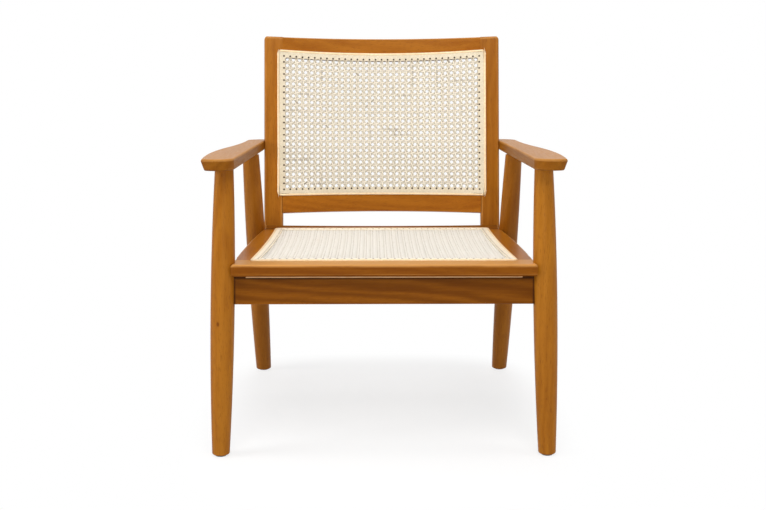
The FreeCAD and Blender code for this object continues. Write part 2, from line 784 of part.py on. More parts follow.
def curved_rail(name, low, high):
    """A rail bent to the back's curve, between the stiles."""
    inner = BACK_INNER

    def depth(layer):
        return f"back_bow - {BACK_RADIUS} + sqrt(({BACK_RADIUS} + {layer})^2 - {inner}^2)"

    path = [
        (f"-{inner}", depth("0"), BACK_RADIUS, -1),
        (inner, depth("0")),
        (inner, depth("rail_thick"), f"{BACK_RADIUS} + rail_thick", 1),
        (f"-{inner}", depth("rail_thick")),
    ]
    body = padded(f"{name}_blank", "XY_Plane", path, f"{high} - ({low})", offset=low)

    def long_edge(edge):
        return edge.BoundBox.ZLength < value("fit_gap") and edge.BoundBox.XLength > value("rail_thick")

    rounded(body, f"{name}_eased", "rail_round", long_edge)
    body.Placement = BACK
    doc.recompute()
    return body


def back_rails(recess, top_bores, lower_bores):
    """Top rail, and a lower rail with an arched lower edge."""
    top = curved_rail("back_top_rail", f"({BACK_TOP} - top_rail_height)", BACK_TOP)
    keep("back_top_rail", cut("back_top_rail", cut("back_top_rail_rebated", top, [recess]), top_bores))
    lower = curved_rail("back_lower_rail", "lower_rail_rise", "(lower_rail_rise + lower_rail_height)")
    bend = f"({BACK_INNER}^2 + lower_rail_arch^2) / (2 * lower_rail_arch)"
    path = [
        (f"-{BACK_INNER}", "lower_rail_rise", bend, -1),
        (BACK_INNER, "lower_rail_rise"),
        (BACK_INNER, "lower_rail_rise - overrun"),
        (f"-{BACK_INNER}", "lower_rail_rise - overrun"),
    ]
    arch = padded("lower_rail_arch_cut", "XZ_Plane", path, "5 * overrun", offset="-4 * overrun")
    arch.Placement = BACK
    doc.recompute()
    arched = cut("back_lower_rail_arched", lower, [arch])
    rebated = cut("back_lower_rail_rebated", arched, [recess])
    keep("back_lower_rail", cut("back_lower_rail", rebated, lower_bores))


# Aprons and corner blocks

def aprons(front_notches, rear_notches, back_waste, bores):
    """The box of rails under the seat: front, rear and sides."""
    low = "-seat_thick - apron_height"
    half = "(front_foot_half - front_leg_foot_dia / 2)"
    front = box("front_apron_blank", SEAT, (f"-{half}", "apron_setback", low),
                (f"2 * {half}", "apron_thick", "apron_height"))
    shaped = cut("front_apron_shaped", front, front_notches)
    keep("front_apron", cut("front_apron", shaped, bores["front_apron"]))
    half = "(rear_leg_half - rear_leg_belly_dia / 4)"
    rear = box("rear_apron_blank", BACK, (f"-{half}", "-apron_thick", low),
               (f"2 * {half}", "apron_thick", "apron_height + seat_thick"))
    above = box("above_apron", SEAT, ("-2 * seat_front_half", "0", "-seat_thick"),
                ("4 * seat_front_half", "2 * seat_depth", "4 * seat_thick"))
    shaped = cut("rear_apron_level", cut("rear_apron_shaped", rear, rear_notches), [above])
    keep("rear_apron", bored("rear_apron", shaped, bores["rear_apron"]))
    for name, side in SIDES.items():
        node = f"side_apron_{name}"
        blank = box(f"{node}_blank", SEAT,
                    (f"{side} * side_apron_half - apron_thick / 2", "apron_setback + apron_thick", low),
                    ("apron_thick", "seat_depth - apron_setback - apron_thick", "apron_height"))
        shaped = cut(f"{node}_shaped", blank, [back_waste])
        keep(node, cut(node, shaped, bores[node]))


def corner_blocks(back_waste, bores):
    """Three-cornered blocks in the corners of the apron box."""
    for name, side in SIDES.items():
        wall = f"{side} * (side_apron_half - apron_thick / 2)"
        tip = f"{side} * (side_apron_half - apron_thick / 2 - block_side)"
        ends = {
            "front": ("apron_setback + apron_thick", "apron_setback + apron_thick + block_side"),
            "rear": ("seat_depth - apron_thick", "seat_depth - apron_thick - block_side"),
        }
        for end, (near, far) in ends.items():
            node = f"corner_block_{end}_{name}"
            path = [(wall, near), (wall, far), (tip, near)]
            body = padded(f"{node}_blank", "XY_Plane", path, "block_height", offset="-seat_thick", back=True)
            body.Placement = SEAT
            doc.recompute()
            shaped = cut(f"{node}_shaped", body, [back_waste])
            keep(node, cut(node, shaped, bores))


# Screws and bolts

def screw(name, frame, tip, turn, dia, length, head_dia, head_thick):
    """A straight screw with a flat head, its tip at a point, and the bore that takes it."""
    axis = turn.multVec(Vector(0, 0, 1))
    shank = rod(f"{name}_shank", frame, tip + axis * value(f"({length}) / 2"), turn,
                f"{dia} / 2 - fit_gap / 2", length)
    head_centre = tip + axis * value(f"{length} - {head_thick} / 2")
    head = rod(f"{name}_head", frame, head_centre, turn, f"{head_dia} / 2 - fit_gap / 2", head_thick)
    bore = rod(f"{name}_bore", frame, tip + axis * value(f"({length} - fit_gap) / 2"), turn,
               f"{dia} / 2", f"{length} + fit_gap")
    sink = rod(f"{name}_sink", frame, head_centre, turn, f"{head_dia} / 2", head_thick)
    whole = doc.addObject("Part::Fuse", name)
    whole.Base = shank
    whole.Tool = head
    hole = doc.addObject("Part::Fuse", f"{name}_hole")
    hole.Base = bore
    hole.Tool = sink
    return whole, hole


def screw_set(name, frame, tips, turn, *sizes):
    """A node of like screws, and the holes that take them."""
    pairs = [screw(f"{name}_{i}", frame, tip, turn, *sizes) for i, tip in enumerate(tips)]
    keep(name, group(name, [whole for whole, _ in pairs]))
    return [hole for _, hole in pairs]


DOWN = Rotation(Vector(1, 0, 0), 180)
INWARD = {1: Rotation(Vector(0, 1, 0), -90), -1: Rotation(Vector(0, 1, 0), 90)}


def seat_fixings():
    """Screws up through the corner blocks, into the front rail in front and the side rails behind."""
    level = value("seat_screw_reach - seat_thick")
    front = Vector(value("side_apron_half - apron_thick / 2 - block_side / 3"),
                   value("(apron_setback + apron_thick + seat_panel_front + panel_lap) / 2"), level)
    rear = Vector(value("seat_panel_rear_half - panel_lap / 2"),
                  value("seat_depth - apron_thick - block_side / 2"), level)
    tips = [Vector(side * spot.x, spot.y, spot.z) for side in SIDES.values() for spot in (front, rear)]
    return screw_set("seat_fixing_screws", SEAT, tips, DOWN, "screw_dia", "seat_screw_reach + block_height",
                     "screw_head_dia", "screw_head_thick")


def seat_panel_screws():
    """Screws up through the seat rails into the seat panel's sub-frame; front ones first."""
    level = value(f"panel_screw_reach - {PANEL_DEPTH}")
    front = value("seat_panel_front + panel_screw_inset")
    rear = value("seat_depth - seat_panel_rear - panel_screw_inset")
    spread = [share * value("seat_panel_rear_half") for share in SEAT_SCREW_SHARES]
    places = sorted({-half for half in spread} | set(spread))
    tips = [Vector(place, depth, level) for depth in (front, rear) for place in places]
    holes = screw_set("seat_panel_screws", SEAT, tips, DOWN, "panel_screw_dia",
                      f"panel_screw_reach + seat_thick - {PANEL_DEPTH}",
                      "panel_screw_head_dia", "panel_screw_head_thick")
    return holes[:len(places)], holes[len(places):], holes


def back_panel_screws():
    """Screws from behind through the curved rails into the back panel's sub-frame; upper ones first."""
    radius = value(BACK_RADIUS)
    high = value(f"{BACK_PANEL_HIGH} - panel_screw_inset")
    low = value(f"{BACK_PANEL_LOW} + panel_screw_inset")
    tips = []
    for level in (high, low):
        for share in BACK_SCREW_SHARES:
            across = share * value(BACK_INNER)
            face = value("back_bow") - radius + math.sqrt(radius ** 2 - across ** 2)
            depth = face + value(f"{PANEL_DEPTH} - panel_screw_reach")
            tips += [Vector(side * across, depth, level) for side in SIDES.values()]
    holes = screw_set("back_panel_screws", BACK, tips, ALONG_Y, "panel_screw_dia",
                      f"panel_screw_reach + rail_thick - {PANEL_DEPTH}",
                      "panel_screw_head_dia", "panel_screw_head_thick")
    half = len(holes) // 2
    return holes[:half], holes[half:], holes


def arm_screws():
    """Screws from the stiles' inner sides into the armrests, each under a wooden plug."""
    start = BACK.inverse().multVec(ARM.multVec(Vector(0, 0, -value("arm_thick / 2"))))
    end = BACK.inverse().multVec(ARM.multVec(Vector(0, value("arm_length"), -value("arm_thick / 2"))))
    share = (value("arm_screw_back") - start.y) / (end.y - start.y)
    level = start.z + share * (end.z - start.z)
    wholes, plugs, holes = [], [], {}
    length = "arm_screw_reach + stile_width - plug_thick"
    for name, side in SIDES.items():
        tip = Vector(side * value("back_outer_half + arm_screw_reach"), value("arm_screw_back"), level)
        whole, hole = screw(f"arm_screw_{name}", BACK, tip, INWARD[side], "screw_dia", length,
                            "screw_head_dia", "screw_head_thick")
        middle = Vector(side * value(f"{BACK_INNER} + plug_thick / 2"), tip.y, tip.z)
        plugs.append(rod(f"arm_plug_{name}", BACK, middle, ALONG_X,
                         "plug_dia / 2 - fit_gap / 2", "plug_thick"))
        seat = rod(f"arm_plug_seat_{name}", BACK, middle, ALONG_X, "plug_dia / 2", "plug_thick")
        wholes.append(whole)
        holes[name] = [hole, seat]
    keep("arm_screws", group("arm_screws", wholes))
    keep("arm_screw_plugs", group("arm_screw_plugs", plugs))
    return holes


def back_bolts():
    """Bolts from behind each stile into threaded inserts in the rear apron."""
    across = value(f"{BACK_INNER} + bolt_inset")
    levels = steps(BOLT_SHARES, "-seat_thick", "-seat_thick - apron_height")
    bolts, inserts, holes, seats = [], [], [], []
    for index, (side, level) in enumerate((side, level) for side in SIDES.values() for level in levels):
        spot = Vector(side * across, 0, level)
        tip = spot - Vector(0, value("insert_length"), 0)
        name = f"back_bolt_{index}"
        whole, _ = screw(name, BACK, tip, ALONG_Y, "bolt_dia",
                         "insert_length + stile_thick + bolt_head_thick", "bolt_head_dia", "bolt_head_thick")
        bolts.append(whole)
        holes.append(rod(f"{name}_way", BACK, spot, ALONG_Y, "bolt_dia / 2", "4 * stile_thick"))
        centre = spot - Vector(0, value("insert_length / 2"), 0)
        sleeve = rod(f"{name}_sleeve", BACK, centre, ALONG_Y, "insert_dia / 2 - fit_gap / 2", "insert_length")
        inserts.append(cut(f"{name}_insert", sleeve, [holes[-1]]))
        seats.append(rod(f"{name}_seat", BACK, spot, ALONG_Y, "insert_dia / 2", "2 * insert_length"))
    keep("back_bolts", group("back_bolts", bolts))
    keep("back_bolt_inserts", group("back_bolt_inserts", inserts))
    return holes, seats


# Dowel places

def apron_dowels():
    """Dowels of the apron box: front apron to front legs, rear apron to rear legs, sides to both."""
    levels = steps(DOWEL_SHARES, "-seat_thick", "-seat_thick - apron_height")
    half = value("(front_foot_half + front_top_half - front_leg_belly_dia) / 2")
    depth = value("apron_setback + apron_thick / 2")
    front = doweled("front_apron_dowels", SEAT,
                    [Vector(side * half, depth, level) for side in SIDES.values() for level in levels],
                    ALONG_X, "dowel_dia", "dowel_length")
    levels = steps(REAR_DOWEL_SHARES, "-seat_thick", "-seat_thick - apron_height")
    half = value("rear_leg_half - rear_leg_belly_dia / 2")
    rear = doweled("rear_apron_dowels", BACK,
                   [Vector(side * half, -value("apron_thick / 2"), level)
                    for side in SIDES.values() for level in levels],
                   ALONG_X, "dowel_dia", "dowel_length")
    half = value("side_apron_half")
    levels = steps(CROSS_DOWEL_SHARES, "-seat_thick", "-seat_thick - apron_height")
    spots = [Vector(side * half, value("apron_setback + apron_thick"), level)
             for side in SIDES.values() for level in levels]
    turn_back = BACK.inverse().multiply(SEAT)
    joint = value("-apron_thick")
    rear_spots = []
    for side in SIDES.values():
        for level in levels:
            near = turn_back.multVec(Vector(side * half, 0, level))
            far = turn_back.multVec(Vector(side * half, value("seat_depth"), level))
            share = (joint - near.y) / (far.y - near.y)
            rear_spots.append(Vector(side * half, value("seat_depth") * share, level))
    cross = doweled("side_apron_dowels", SEAT, spots + rear_spots, ALONG_Y,
                    "frame_dowel_dia", "cross_dowel_length")
    return front, rear, cross


def seat_dowels():
    """Two dowels at each corner of the seat frame, outside the panel's rebate."""
    level = -value("seat_thick / 2")
    joints = (
        (value("seat_panel_front + panel_lap"), "seat_panel_front_half", "seat_front_half"),
        (value("seat_depth - seat_panel_rear - panel_lap"), "seat_panel_rear_half",
         "rear_leg_half - rear_leg_belly_dia / 2"),
    )
    centres = []
    for depth, inner, outer in joints:
        for across in steps(DOWEL_SHARES, inner, outer):
            centres += [Vector(side * across, depth, level) for side in SIDES.values()]
    bores = doweled("seat_frame_dowels", SEAT, centres, ALONG_Y, "frame_dowel_dia", "frame_dowel_length")
    half = len(bores) // 2
    return bores[:half], bores[half:], bores


def back_dowels():
    """Two dowels at each corner of the back frame, clear of the panel's rebate; upper ones first."""
    high = steps(DOWEL_SHARES, BACK_PANEL_HIGH, BACK_TOP)
    low = steps(DOWEL_SHARES, "lower_rail_rise", BACK_PANEL_LOW)
    centres = [Vector(side * value(BACK_INNER), value("rail_thick / 2"), level)
               for level in high + low for side in SIDES.values()]
    bores = doweled("back_frame_dowels", BACK, centres, ALONG_X, "frame_dowel_dia", "frame_dowel_length")
    half = len(bores) // 2
    return bores[:half], bores[half:], bores


# Assembly

def build():
    """Make every piece with the bores of its joints."""
    front_bores, rear_bores, cross_bores = apron_dowels()
    seat_front_bores, seat_rear_bores, seat_side_bores = seat_dowels()
    back_high_bores, back_low_bores, back_side_bores = back_dowels()
    fixing_holes = seat_fixings()
    seat_front_holes, seat_rear_holes, seat_panel_holes = seat_panel_screws()
    back_high_holes, back_low_holes, back_panel_holes = back_panel_screws()
    arm_holes = arm_screws()
    bolt_ways, insert_seats = back_bolts()

    trims = [waste_slab("floor_waste", Placement(), "glide_thick", True),
             waste_slab("arm_waste", ARM, "-arm_thick", False)]
    envelopes = {}
    glides, arm_pins, arm_bores = [], [], {name: [] for name in SIDES}
    for end in ("front", "rear"):
        for name, side in SIDES.items():
            key = f"{end}_{name}"
            envelopes[key] = leg_blank(f"{key}_envelope", end, side, "fit_gap")
            glide_piece, nail_bore = glide(key, leg_frame(end, side))
            frame, middle = arm_dowel(end, side)
            pin = rod(f"arm_dowel_{key}", frame, middle, UPRIGHT,
                      "arm_dowel_dia / 2 - fit_gap / 2", "arm_dowel_length - fit_gap")
            bore = rod(f"arm_dowel_bore_{key}", frame, middle, UPRIGHT,
                       "arm_dowel_dia / 2", "arm_dowel_length")
            glides.append(glide_piece)
            arm_pins.append(pin)
            arm_bores[name].append(bore)
            leg(end, name, side, trims, [nail_bore, bore, *(front_bores if end == "front" else rear_bores)])
    keep("foot_glides", group("foot_glides", glides))
    keep("arm_dowels", group("arm_dowels", arm_pins))

    for name, side in SIDES.items():
        armrest(name, side, arm_bores[name] + arm_holes[name][:1])

    back_waste = box("behind_rear_apron", BACK, ("-2 * seat_front_half", "-apron_thick", "-back_height"),
                     ("4 * seat_front_half", "4 * stile_thick", "2 * back_height"))
    behind_seat = box("behind_seat", BACK, ("-2 * seat_front_half", "0", "-back_height"),
                      ("4 * seat_front_half", "4 * stile_thick", "2 * back_height"))
    front_pair = [envelopes["front_left"], envelopes["front_right"]]
    rear_pair = [envelopes["rear_left"], envelopes["rear_right"]]
    all_legs = group("leg_envelopes", front_pair + rear_pair)
    aprons(front_pair, rear_pair, back_waste, {
        "front_apron": front_bores + cross_bores,
        "rear_apron": rear_bores + cross_bores + insert_seats,
        "side_apron_left": cross_bores,
        "side_apron_right": cross_bores,
    })
    corner_blocks(back_waste, fixing_holes)

    seat_rails([all_legs, behind_seat], seat_front_bores + fixing_holes + seat_front_holes,
               seat_rear_bores + seat_rear_holes, seat_side_bores + fixing_holes)
    seat_panel(seat_panel_holes)
    reed = rod("seat_front_reed", SEAT, Vector(0, value("reed_setback"), -value("seat_thick + reed_dia / 2")),
               ALONG_X, "reed_dia / 2", "2 * reed_half")
    keep("seat_front_reed", reed)

    recess = back_recess()
    for name, side in SIDES.items():
        joint_bores = group(f"stile_bores_{name}", bolt_ways + back_side_bores)
        arm_bore = group(f"stile_arm_bores_{name}", arm_holes[name])
        stile(name, side, [recess, envelopes[f"rear_{name}"], joint_bores, arm_bore])
    back_rails(recess, back_high_bores + back_high_holes, back_low_bores + back_low_holes)
    back_panel(back_panel_holes)


def write_parts():
    """Check every object, then write each sub-part to its own file."""
    failed = [item.Name for item in doc.Objects if {"Invalid", "Error"} & set(item.State)]
    if failed:
        raise RuntimeError(f"objects failed: {failed}")
    bad = [name for name, item in nodes.items() if item.Shape.isNull() or not item.Shape.isValid()]
    if bad:
        raise RuntimeError(f"shapes not valid: {bad}")
    os.makedirs("parts", exist_ok=True)
    for name, item in nodes.items():
        item.Shape.exportStep(f"parts/{name}.step")


build()
doc.recompute()
write_parts()
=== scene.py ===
"""Cane armchair, dressed: honey-lacquered hardwood, woven cane panels and their trim.

Metres, +Z up, front of the chair towards -Y. Left is -X, as seen from the front.
"""

import json
import math

import bmesh
import bpy
from mathutils import Matrix, Vector, noise

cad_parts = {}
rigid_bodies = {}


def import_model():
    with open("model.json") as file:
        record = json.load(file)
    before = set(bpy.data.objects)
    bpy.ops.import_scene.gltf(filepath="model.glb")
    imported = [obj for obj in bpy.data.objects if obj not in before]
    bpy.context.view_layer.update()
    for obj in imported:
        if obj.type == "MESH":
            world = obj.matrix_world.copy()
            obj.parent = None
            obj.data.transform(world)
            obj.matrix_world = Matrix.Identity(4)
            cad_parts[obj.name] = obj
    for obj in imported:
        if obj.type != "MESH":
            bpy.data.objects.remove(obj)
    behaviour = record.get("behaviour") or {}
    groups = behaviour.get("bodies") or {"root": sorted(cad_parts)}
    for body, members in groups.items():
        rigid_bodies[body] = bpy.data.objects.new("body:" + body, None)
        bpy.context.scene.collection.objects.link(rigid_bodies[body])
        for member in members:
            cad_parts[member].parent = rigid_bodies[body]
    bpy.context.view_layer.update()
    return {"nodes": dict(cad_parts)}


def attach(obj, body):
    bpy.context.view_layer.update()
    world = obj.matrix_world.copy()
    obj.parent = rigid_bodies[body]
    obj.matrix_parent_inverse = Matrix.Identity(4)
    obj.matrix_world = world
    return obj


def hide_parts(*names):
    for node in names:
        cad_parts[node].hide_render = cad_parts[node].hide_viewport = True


for leftover in list(bpy.data.objects):
    bpy.data.objects.remove(leftover)

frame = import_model()


# Frames of the seat and the back, as the part has them

SEAT_FRONT = (0, -0.309, 0.383)
SEAT_DEPTH, SEAT_DROP = 0.515, 0.015
SEAT_LEAN = math.asin(SEAT_DROP / SEAT_DEPTH)
SEAT = Matrix.Translation(SEAT_FRONT) @ Matrix.Rotation(-SEAT_LEAN, 4, "X")
BACK_RUN, BACK_RISE = 0.091, 0.428
BACK_LEAN = math.atan2(BACK_RUN, BACK_RISE)
BACK = Matrix.Translation(SEAT @ Vector((0, SEAT_DEPTH, 0))) @ Matrix.Rotation(-BACK_LEAN, 4, "X")
SEAT_OUTWARD = SEAT.to_3x3() @ Vector((0, 0, 1))
BACK_OUTWARD = BACK.to_3x3() @ Vector((0, -1, 0))

# The curve of the back: its depth at the middle, and the half width where that runs out
BACK_BOW = 0.025
BACK_INNER = 0.227
BACK_RADIUS = (BACK_INNER ** 2 + BACK_BOW ** 2) / (2 * BACK_BOW)

# Rows of small holes that the strands run between, and how far the strands stop short of them
BACK_HOLE_HALF, BACK_HOLE_LOW, BACK_HOLE_HIGH = 0.224, 0.087, 0.39357
BACK_EDGE_BOW = 0.0045
SEAT_HOLE_FRONT_HALF, SEAT_HOLE_REAR_HALF = 0.2425, 0.227
SEAT_HOLE_FRONT, SEAT_HOLE_REAR = 0.061, 0.476
SEAT_EDGE_BOW = 0.004
STRAND_SHORT = 0.0016

# Points nearer than this are one point, and a cut nearer than this to a point goes through it
MERGED = 0.00001
SLIVER = 0.000001


# Camera, at the height and distance that the photograph's perspective gives

CAMERA_PLACE = (-0.0244, -2.584, 0.838)
CAMERA_DOWN, CAMERA_ASIDE = 10.85, -0.55
camera = bpy.data.objects.new("camera", bpy.data.cameras.new("camera"))
camera.data.sensor_width = 36
camera.data.lens = 58.04
camera.location = CAMERA_PLACE
camera.rotation_euler = (math.radians(90 - CAMERA_DOWN), 0, math.radians(CAMERA_ASIDE))
bpy.context.scene.collection.objects.link(camera)
bpy.context.scene.camera = camera
bpy.context.scene.view_settings.view_transform = "Standard"


# Node building

def feed(tree, node, inputs):
    """Set or link a node's inputs, by name or by number."""
    for socket, source in inputs.items():
        if isinstance(source, bpy.types.NodeSocket):
            tree.links.new(source, node.inputs[socket])
        else:
            node.inputs[socket].default_value = source


def add(tree, kind, inputs=None, **settings):
    """One node with its settings, and its inputs set or linked."""
    node = tree.nodes.new(kind)
    for name, setting in settings.items():
        setattr(node, name, setting)
    feed(tree, node, inputs or {})
    return node


def maths(tree, operation, *values, **settings):
    """A Math node's result."""
    return add(tree, "ShaderNodeMath", dict(enumerate(values)), operation=operation, **settings).outputs[0]


def vectors(tree, operation, first, second, output="Vector"):
    """A Vector Math node's result."""
    return add(tree, "ShaderNodeVectorMath", {0: first, 1: second}, operation=operation).outputs[output]


def combined(tree, *scaled):
    """A vector from (value, factor) pairs, one for each axis; None leaves an axis at nothing."""
    axes = {axis: maths(tree, "MULTIPLY", *pair) for axis, pair in enumerate(scaled) if pair}
    return add(tree, "ShaderNodeCombineXYZ", axes).outputs[0]


def ramp(tree, value, low, high, start=0.0, end=1.0):
    """A value mapped smoothly from low to high onto start to end."""
    spans = {"Value": value, "From Min": low, "From Max": high, "To Min": start, "To Max": end}
    return add(tree, "ShaderNodeMapRange", spans, interpolation_type="SMOOTHSTEP").outputs["Result"]


def blended(tree, factor, first, second):
    """Two colours mixed by a factor."""
    return add(tree, "ShaderNodeMix", {0: factor, 6: first, 7: second}, data_type="RGBA").outputs[2]


def speckle(tree, vector, scale=1.0, detail=2.0, roughness=0.5):
    """A noise value."""
    inputs = {"Vector": vector, "Scale": scale, "Detail": detail, "Roughness": roughness}
    return add(tree, "ShaderNodeTexNoise", inputs).outputs["Fac"]


def object_place(tree):
    """The point that is shaded, in the piece's own coordinates."""
    return add(tree, "ShaderNodeTexCoord").outputs["Object"]


def placed(tree, group, **inputs):
    """The outputs of a shared effect with its inputs set or linked."""
    return add(tree, "ShaderNodeGroup", inputs, node_tree=group).outputs


def shade(red, green, blue):
    """A colour as it looks on a screen, 0 to 255, made linear."""
    def linear(level):
        level /= 255
        return level / 12.92 if level <= 0.04045 else ((level + 0.055) / 1.055) ** 2.4

    return (linear(red), linear(green), linear(blue), 1.0)


def effect(name, inputs, outputs):
    """An empty shader node group with named sockets; gives the group, its given values and its results."""
    group = bpy.data.node_groups.new(name, "ShaderNodeTree")
    for label, kind in inputs.items():
        group.interface.new_socket(label, in_out="INPUT", socket_type=f"NodeSocket{kind}")
    for label, kind in outputs.items():
        group.interface.new_socket(label, in_out="OUTPUT", socket_type=f"NodeSocket{kind}")
    return group, group.nodes.new("NodeGroupInput").outputs, group.nodes.new("NodeGroupOutput")


def material(name):
    """An empty material: its tree, and its Principled shader joined to the output."""
    made = bpy.data.materials.new(name)
    made.use_nodes = True
    tree = made.node_tree
    tree.nodes.clear()
    shader = add(tree, "ShaderNodeBsdfPrincipled")
    add(tree, "ShaderNodeOutputMaterial", {"Surface": shader.outputs[0]})
    return made, tree, shader


def bumped(tree, shader, height, distance):
    """Relief on a shader from a height value."""
    node = add(tree, "ShaderNodeBump", {"Height": height, "Distance": distance})
    feed(tree, shader, {"Normal": node.outputs[0]})


# Effects that several finishes share

WORN_SHEEN_LAYER = "worn_sheen"


def timber_figure():
    """Growth bands, fibres and pores of a board whose grain runs along X."""
    group, given, results = effect(
        "timber_figure",
        {"Vector": "Vector", "Pale": "Color", "Deep": "Color", "Pore": "Color", "Figure": "Float"},
        {"Color": "Color", "Roughness": "Float", "Height": "Float"})

    def streaked(stretching, **look):
        return speckle(group, vectors(group, "MULTIPLY", given["Vector"], stretching), **look)

    sway = streaked((1.1, 7, 7), scale=2.2)
    drift = add(group, "ShaderNodeVectorMath", {0: (0, 0.05, 0.03), "Scale": sway}, operation="SCALE")
    flattened = vectors(group, "MULTIPLY", given["Vector"], (0.1, 1, 1))
    swayed = vectors(group, "ADD", flattened, drift.outputs[0])
    bands = add(group, "ShaderNodeTexWave", {"Vector": swayed, "Scale": 26, "Distortion": 3.0, "Detail": 3,
                                             "Detail Scale": 1.4, "Detail Roughness": 0.6},
                wave_type="BANDS", bands_direction="DIAGONAL", wave_profile="SIN").outputs["Fac"]
    broad = streaked((0.8, 11, 11), scale=2.4, detail=3)
    fibre = streaked((14, 420, 420), detail=4, roughness=0.62)
    pores = ramp(group, streaked((70, 1150, 1150), detail=1), 0.60, 0.72)
    tone = maths(group, "ADD", maths(group, "MULTIPLY", broad, 0.62), maths(group, "MULTIPLY", fibre, 0.42))
    tone = maths(group, "SUBTRACT", tone, maths(group, "MULTIPLY", bands, given["Figure"]))
    board = blended(group, ramp(group, tone, 0.08, 0.72), given["Deep"], given["Pale"])
    feed(group, results, {
        "Color": blended(group, maths(group, "MULTIPLY", pores, 0.55), board, given["Pore"]),
        "Roughness": ramp(group, fibre, 0.25, 0.75, 0.30, 0.42),
        "Height": maths(group, "SUBTRACT", maths(group, "MULTIPLY", fibre, 0.35), pores)})
    return group


def dust_of_use():
    """Faint blotches that break up an even finish."""
    group, given, results = effect(
        "dust_of_use", {"Vector": "Vector", "Color": "Color", "Dust": "Color", "Amount": "Float"},
        {"Color": "Color"})
    blotches = speckle(group, given["Vector"], scale=30, detail=4, roughness=0.6)
    cloud = ramp(group, blotches, 0.42, 0.70)
    mask = maths(group, "MULTIPLY", cloud, given["Amount"])
    feed(group, results, {"Color": blended(group, mask, given["Color"], given["Dust"])})
    return group


def handled_and_sheen_edges():
    """Paler finish, in patches, on the rounded edges that hands and cloths wear first; partly real wear and
    partly painted sheen on those edges.
    """
    group, given, results = effect(
        "handled_and_sheen_edges", {"Vector": "Vector", "Color": "Color", "Rubbed": "Color", "Amount": "Float"},
        {"Color": "Color"})
    worn_sheen = add(group, "ShaderNodeAttribute", attribute_name=WORN_SHEEN_LAYER).outputs["Fac"]
    patches = ramp(group, speckle(group, given["Vector"], scale=18, detail=3), 0.30, 0.65, 0.35, 1.0)
    mask = maths(group, "MULTIPLY", maths(group, "MULTIPLY", worn_sheen, patches), given["Amount"])
    feed(group, results, {"Color": blended(group, mask, given["Color"], given["Rubbed"])})
    return group


FIGURE, DUST, EDGES = timber_figure(), dust_of_use(), handled_and_sheen_edges()


# Wood

ACROSS, ALONG, UP = (1, 0, 0), (0, 1, 0), (0, 0, 1)
WOOD_SPECULAR, WOOD_RELIEF = 0.04, 0.00012
COAT_ROUGHNESS = 0.22
WORN_SHEEN_AMOUNT = 0.4
# The rubbed colour is both the wear on edges and the painted sheen on rounded edges and tops.
HONEY_PORE, HONEY_RUBBED_SHEEN = (104, 52, 8), (204, 146, 78)

# How far up a face looks where the painted sheen on its top starts, and where it is palest
TOP_SHEEN_FROM, TOP_SHEEN_FULL = 0.3, 0.95

# Painted shade in a joint, and how much of it shows under a rail and beside a leg
GAP_SHADE = shade(48, 22, 4)
GAP_SHADE_UNDER, GAP_SHADE_BESIDE = 0.85, 0.75

# A small knot: its place, its shape, the radii of its heart and its rim, and its darkness
KNOT = Vector((-0.3157, -0.3065, 0.268))
KNOT_OVAL = Vector((1, 1, 0.6))
KNOT_HEART, KNOT_RIM, KNOT_DEPTH = 0.0012, 0.0042, 0.85


def timber(name, grain, pale, deep, pore, figure, rubbed_sheen, coat=0.0, shift=0.0, knot=None, paled=0.0,
           joint=None):
    """Wood with its grain along a direction; a lacquered one has a coat, and a painted sheen can pale its
    top.

    A shift gives a board its own figure. A joint is the two heights and the two half widths between
    which shade is painted, darker towards a rail above and the legs beside.
    """
    made, tree, shader = material(name)
    pale, deep, pore, rubbed_sheen = (shade(*tone) for tone in (pale, deep, pore, rubbed_sheen))
    place = object_place(tree)
    turned = Vector(grain).rotation_difference(Vector(ACROSS)).to_euler()
    along = add(tree, "ShaderNodeMapping",
                {"Vector": place, "Rotation": turned, "Location": (shift, shift, shift)}).outputs[0]
    board = placed(tree, FIGURE, Vector=along, Pale=pale, Deep=deep, Pore=pore, Figure=figure)
    colour = board["Color"]
    # Painted highlight: faces that look up are paled towards the pale rubbed colour.
    if paled:
        normal = add(tree, "ShaderNodeNewGeometry").outputs["Normal"]
        facing_up = add(tree, "ShaderNodeSeparateXYZ", {0: normal}).outputs["Z"]
        colour = blended(tree, ramp(tree, facing_up, TOP_SHEEN_FROM, TOP_SHEEN_FULL, 0.0, paled), colour, rubbed_sheen)
    # Paler rounded edges: partly real wear, partly painted sheen.
    colour = placed(tree, EDGES, Vector=place, Color=colour, Rubbed=rubbed_sheen, Amount=WORN_SHEEN_AMOUNT)["Color"]
    # Painted shade in the gap under the rail above and beside the legs.
    if joint:
        spot = add(tree, "ShaderNodeSeparateXYZ", {0: place}).outputs
        under = ramp(tree, spot["Z"], *joint[0], 0.0, GAP_SHADE_UNDER)
        beside = ramp(tree, maths(tree, "ABSOLUTE", spot["X"]), *joint[1], 0.0, GAP_SHADE_BESIDE)
        colour = blended(tree, maths(tree, "MAXIMUM", under, beside), colour, GAP_SHADE)
    if knot:
        flattened = vectors(tree, "MULTIPLY", place, KNOT_OVAL)
        away = vectors(tree, "DISTANCE", flattened, knot * KNOT_OVAL, "Value")
        dark = ramp(tree, away, KNOT_HEART, KNOT_RIM, KNOT_DEPTH, 0.0)
        colour = blended(tree, dark, colour, pore)
    feed(tree, shader, {"Base Color": colour, "Roughness": board["Roughness"], "Coat Weight": coat,
                        "Coat Roughness": COAT_ROUGHNESS, "Specular IOR Level": WOOD_SPECULAR})
    bumped(tree, shader, board["Height"], WOOD_RELIEF)
    return made


def honey_wood(part, grain, pale, deep, shift, coat=0.11, figure=0.14, **more):
    """The chair's honey-brown lacquered hardwood, on one part of it."""
    return timber(f"honey_wood_{part}", grain, pale, deep, HONEY_PORE, figure, HONEY_RUBBED_SHEEN,
                  coat=coat, shift=shift, **more)


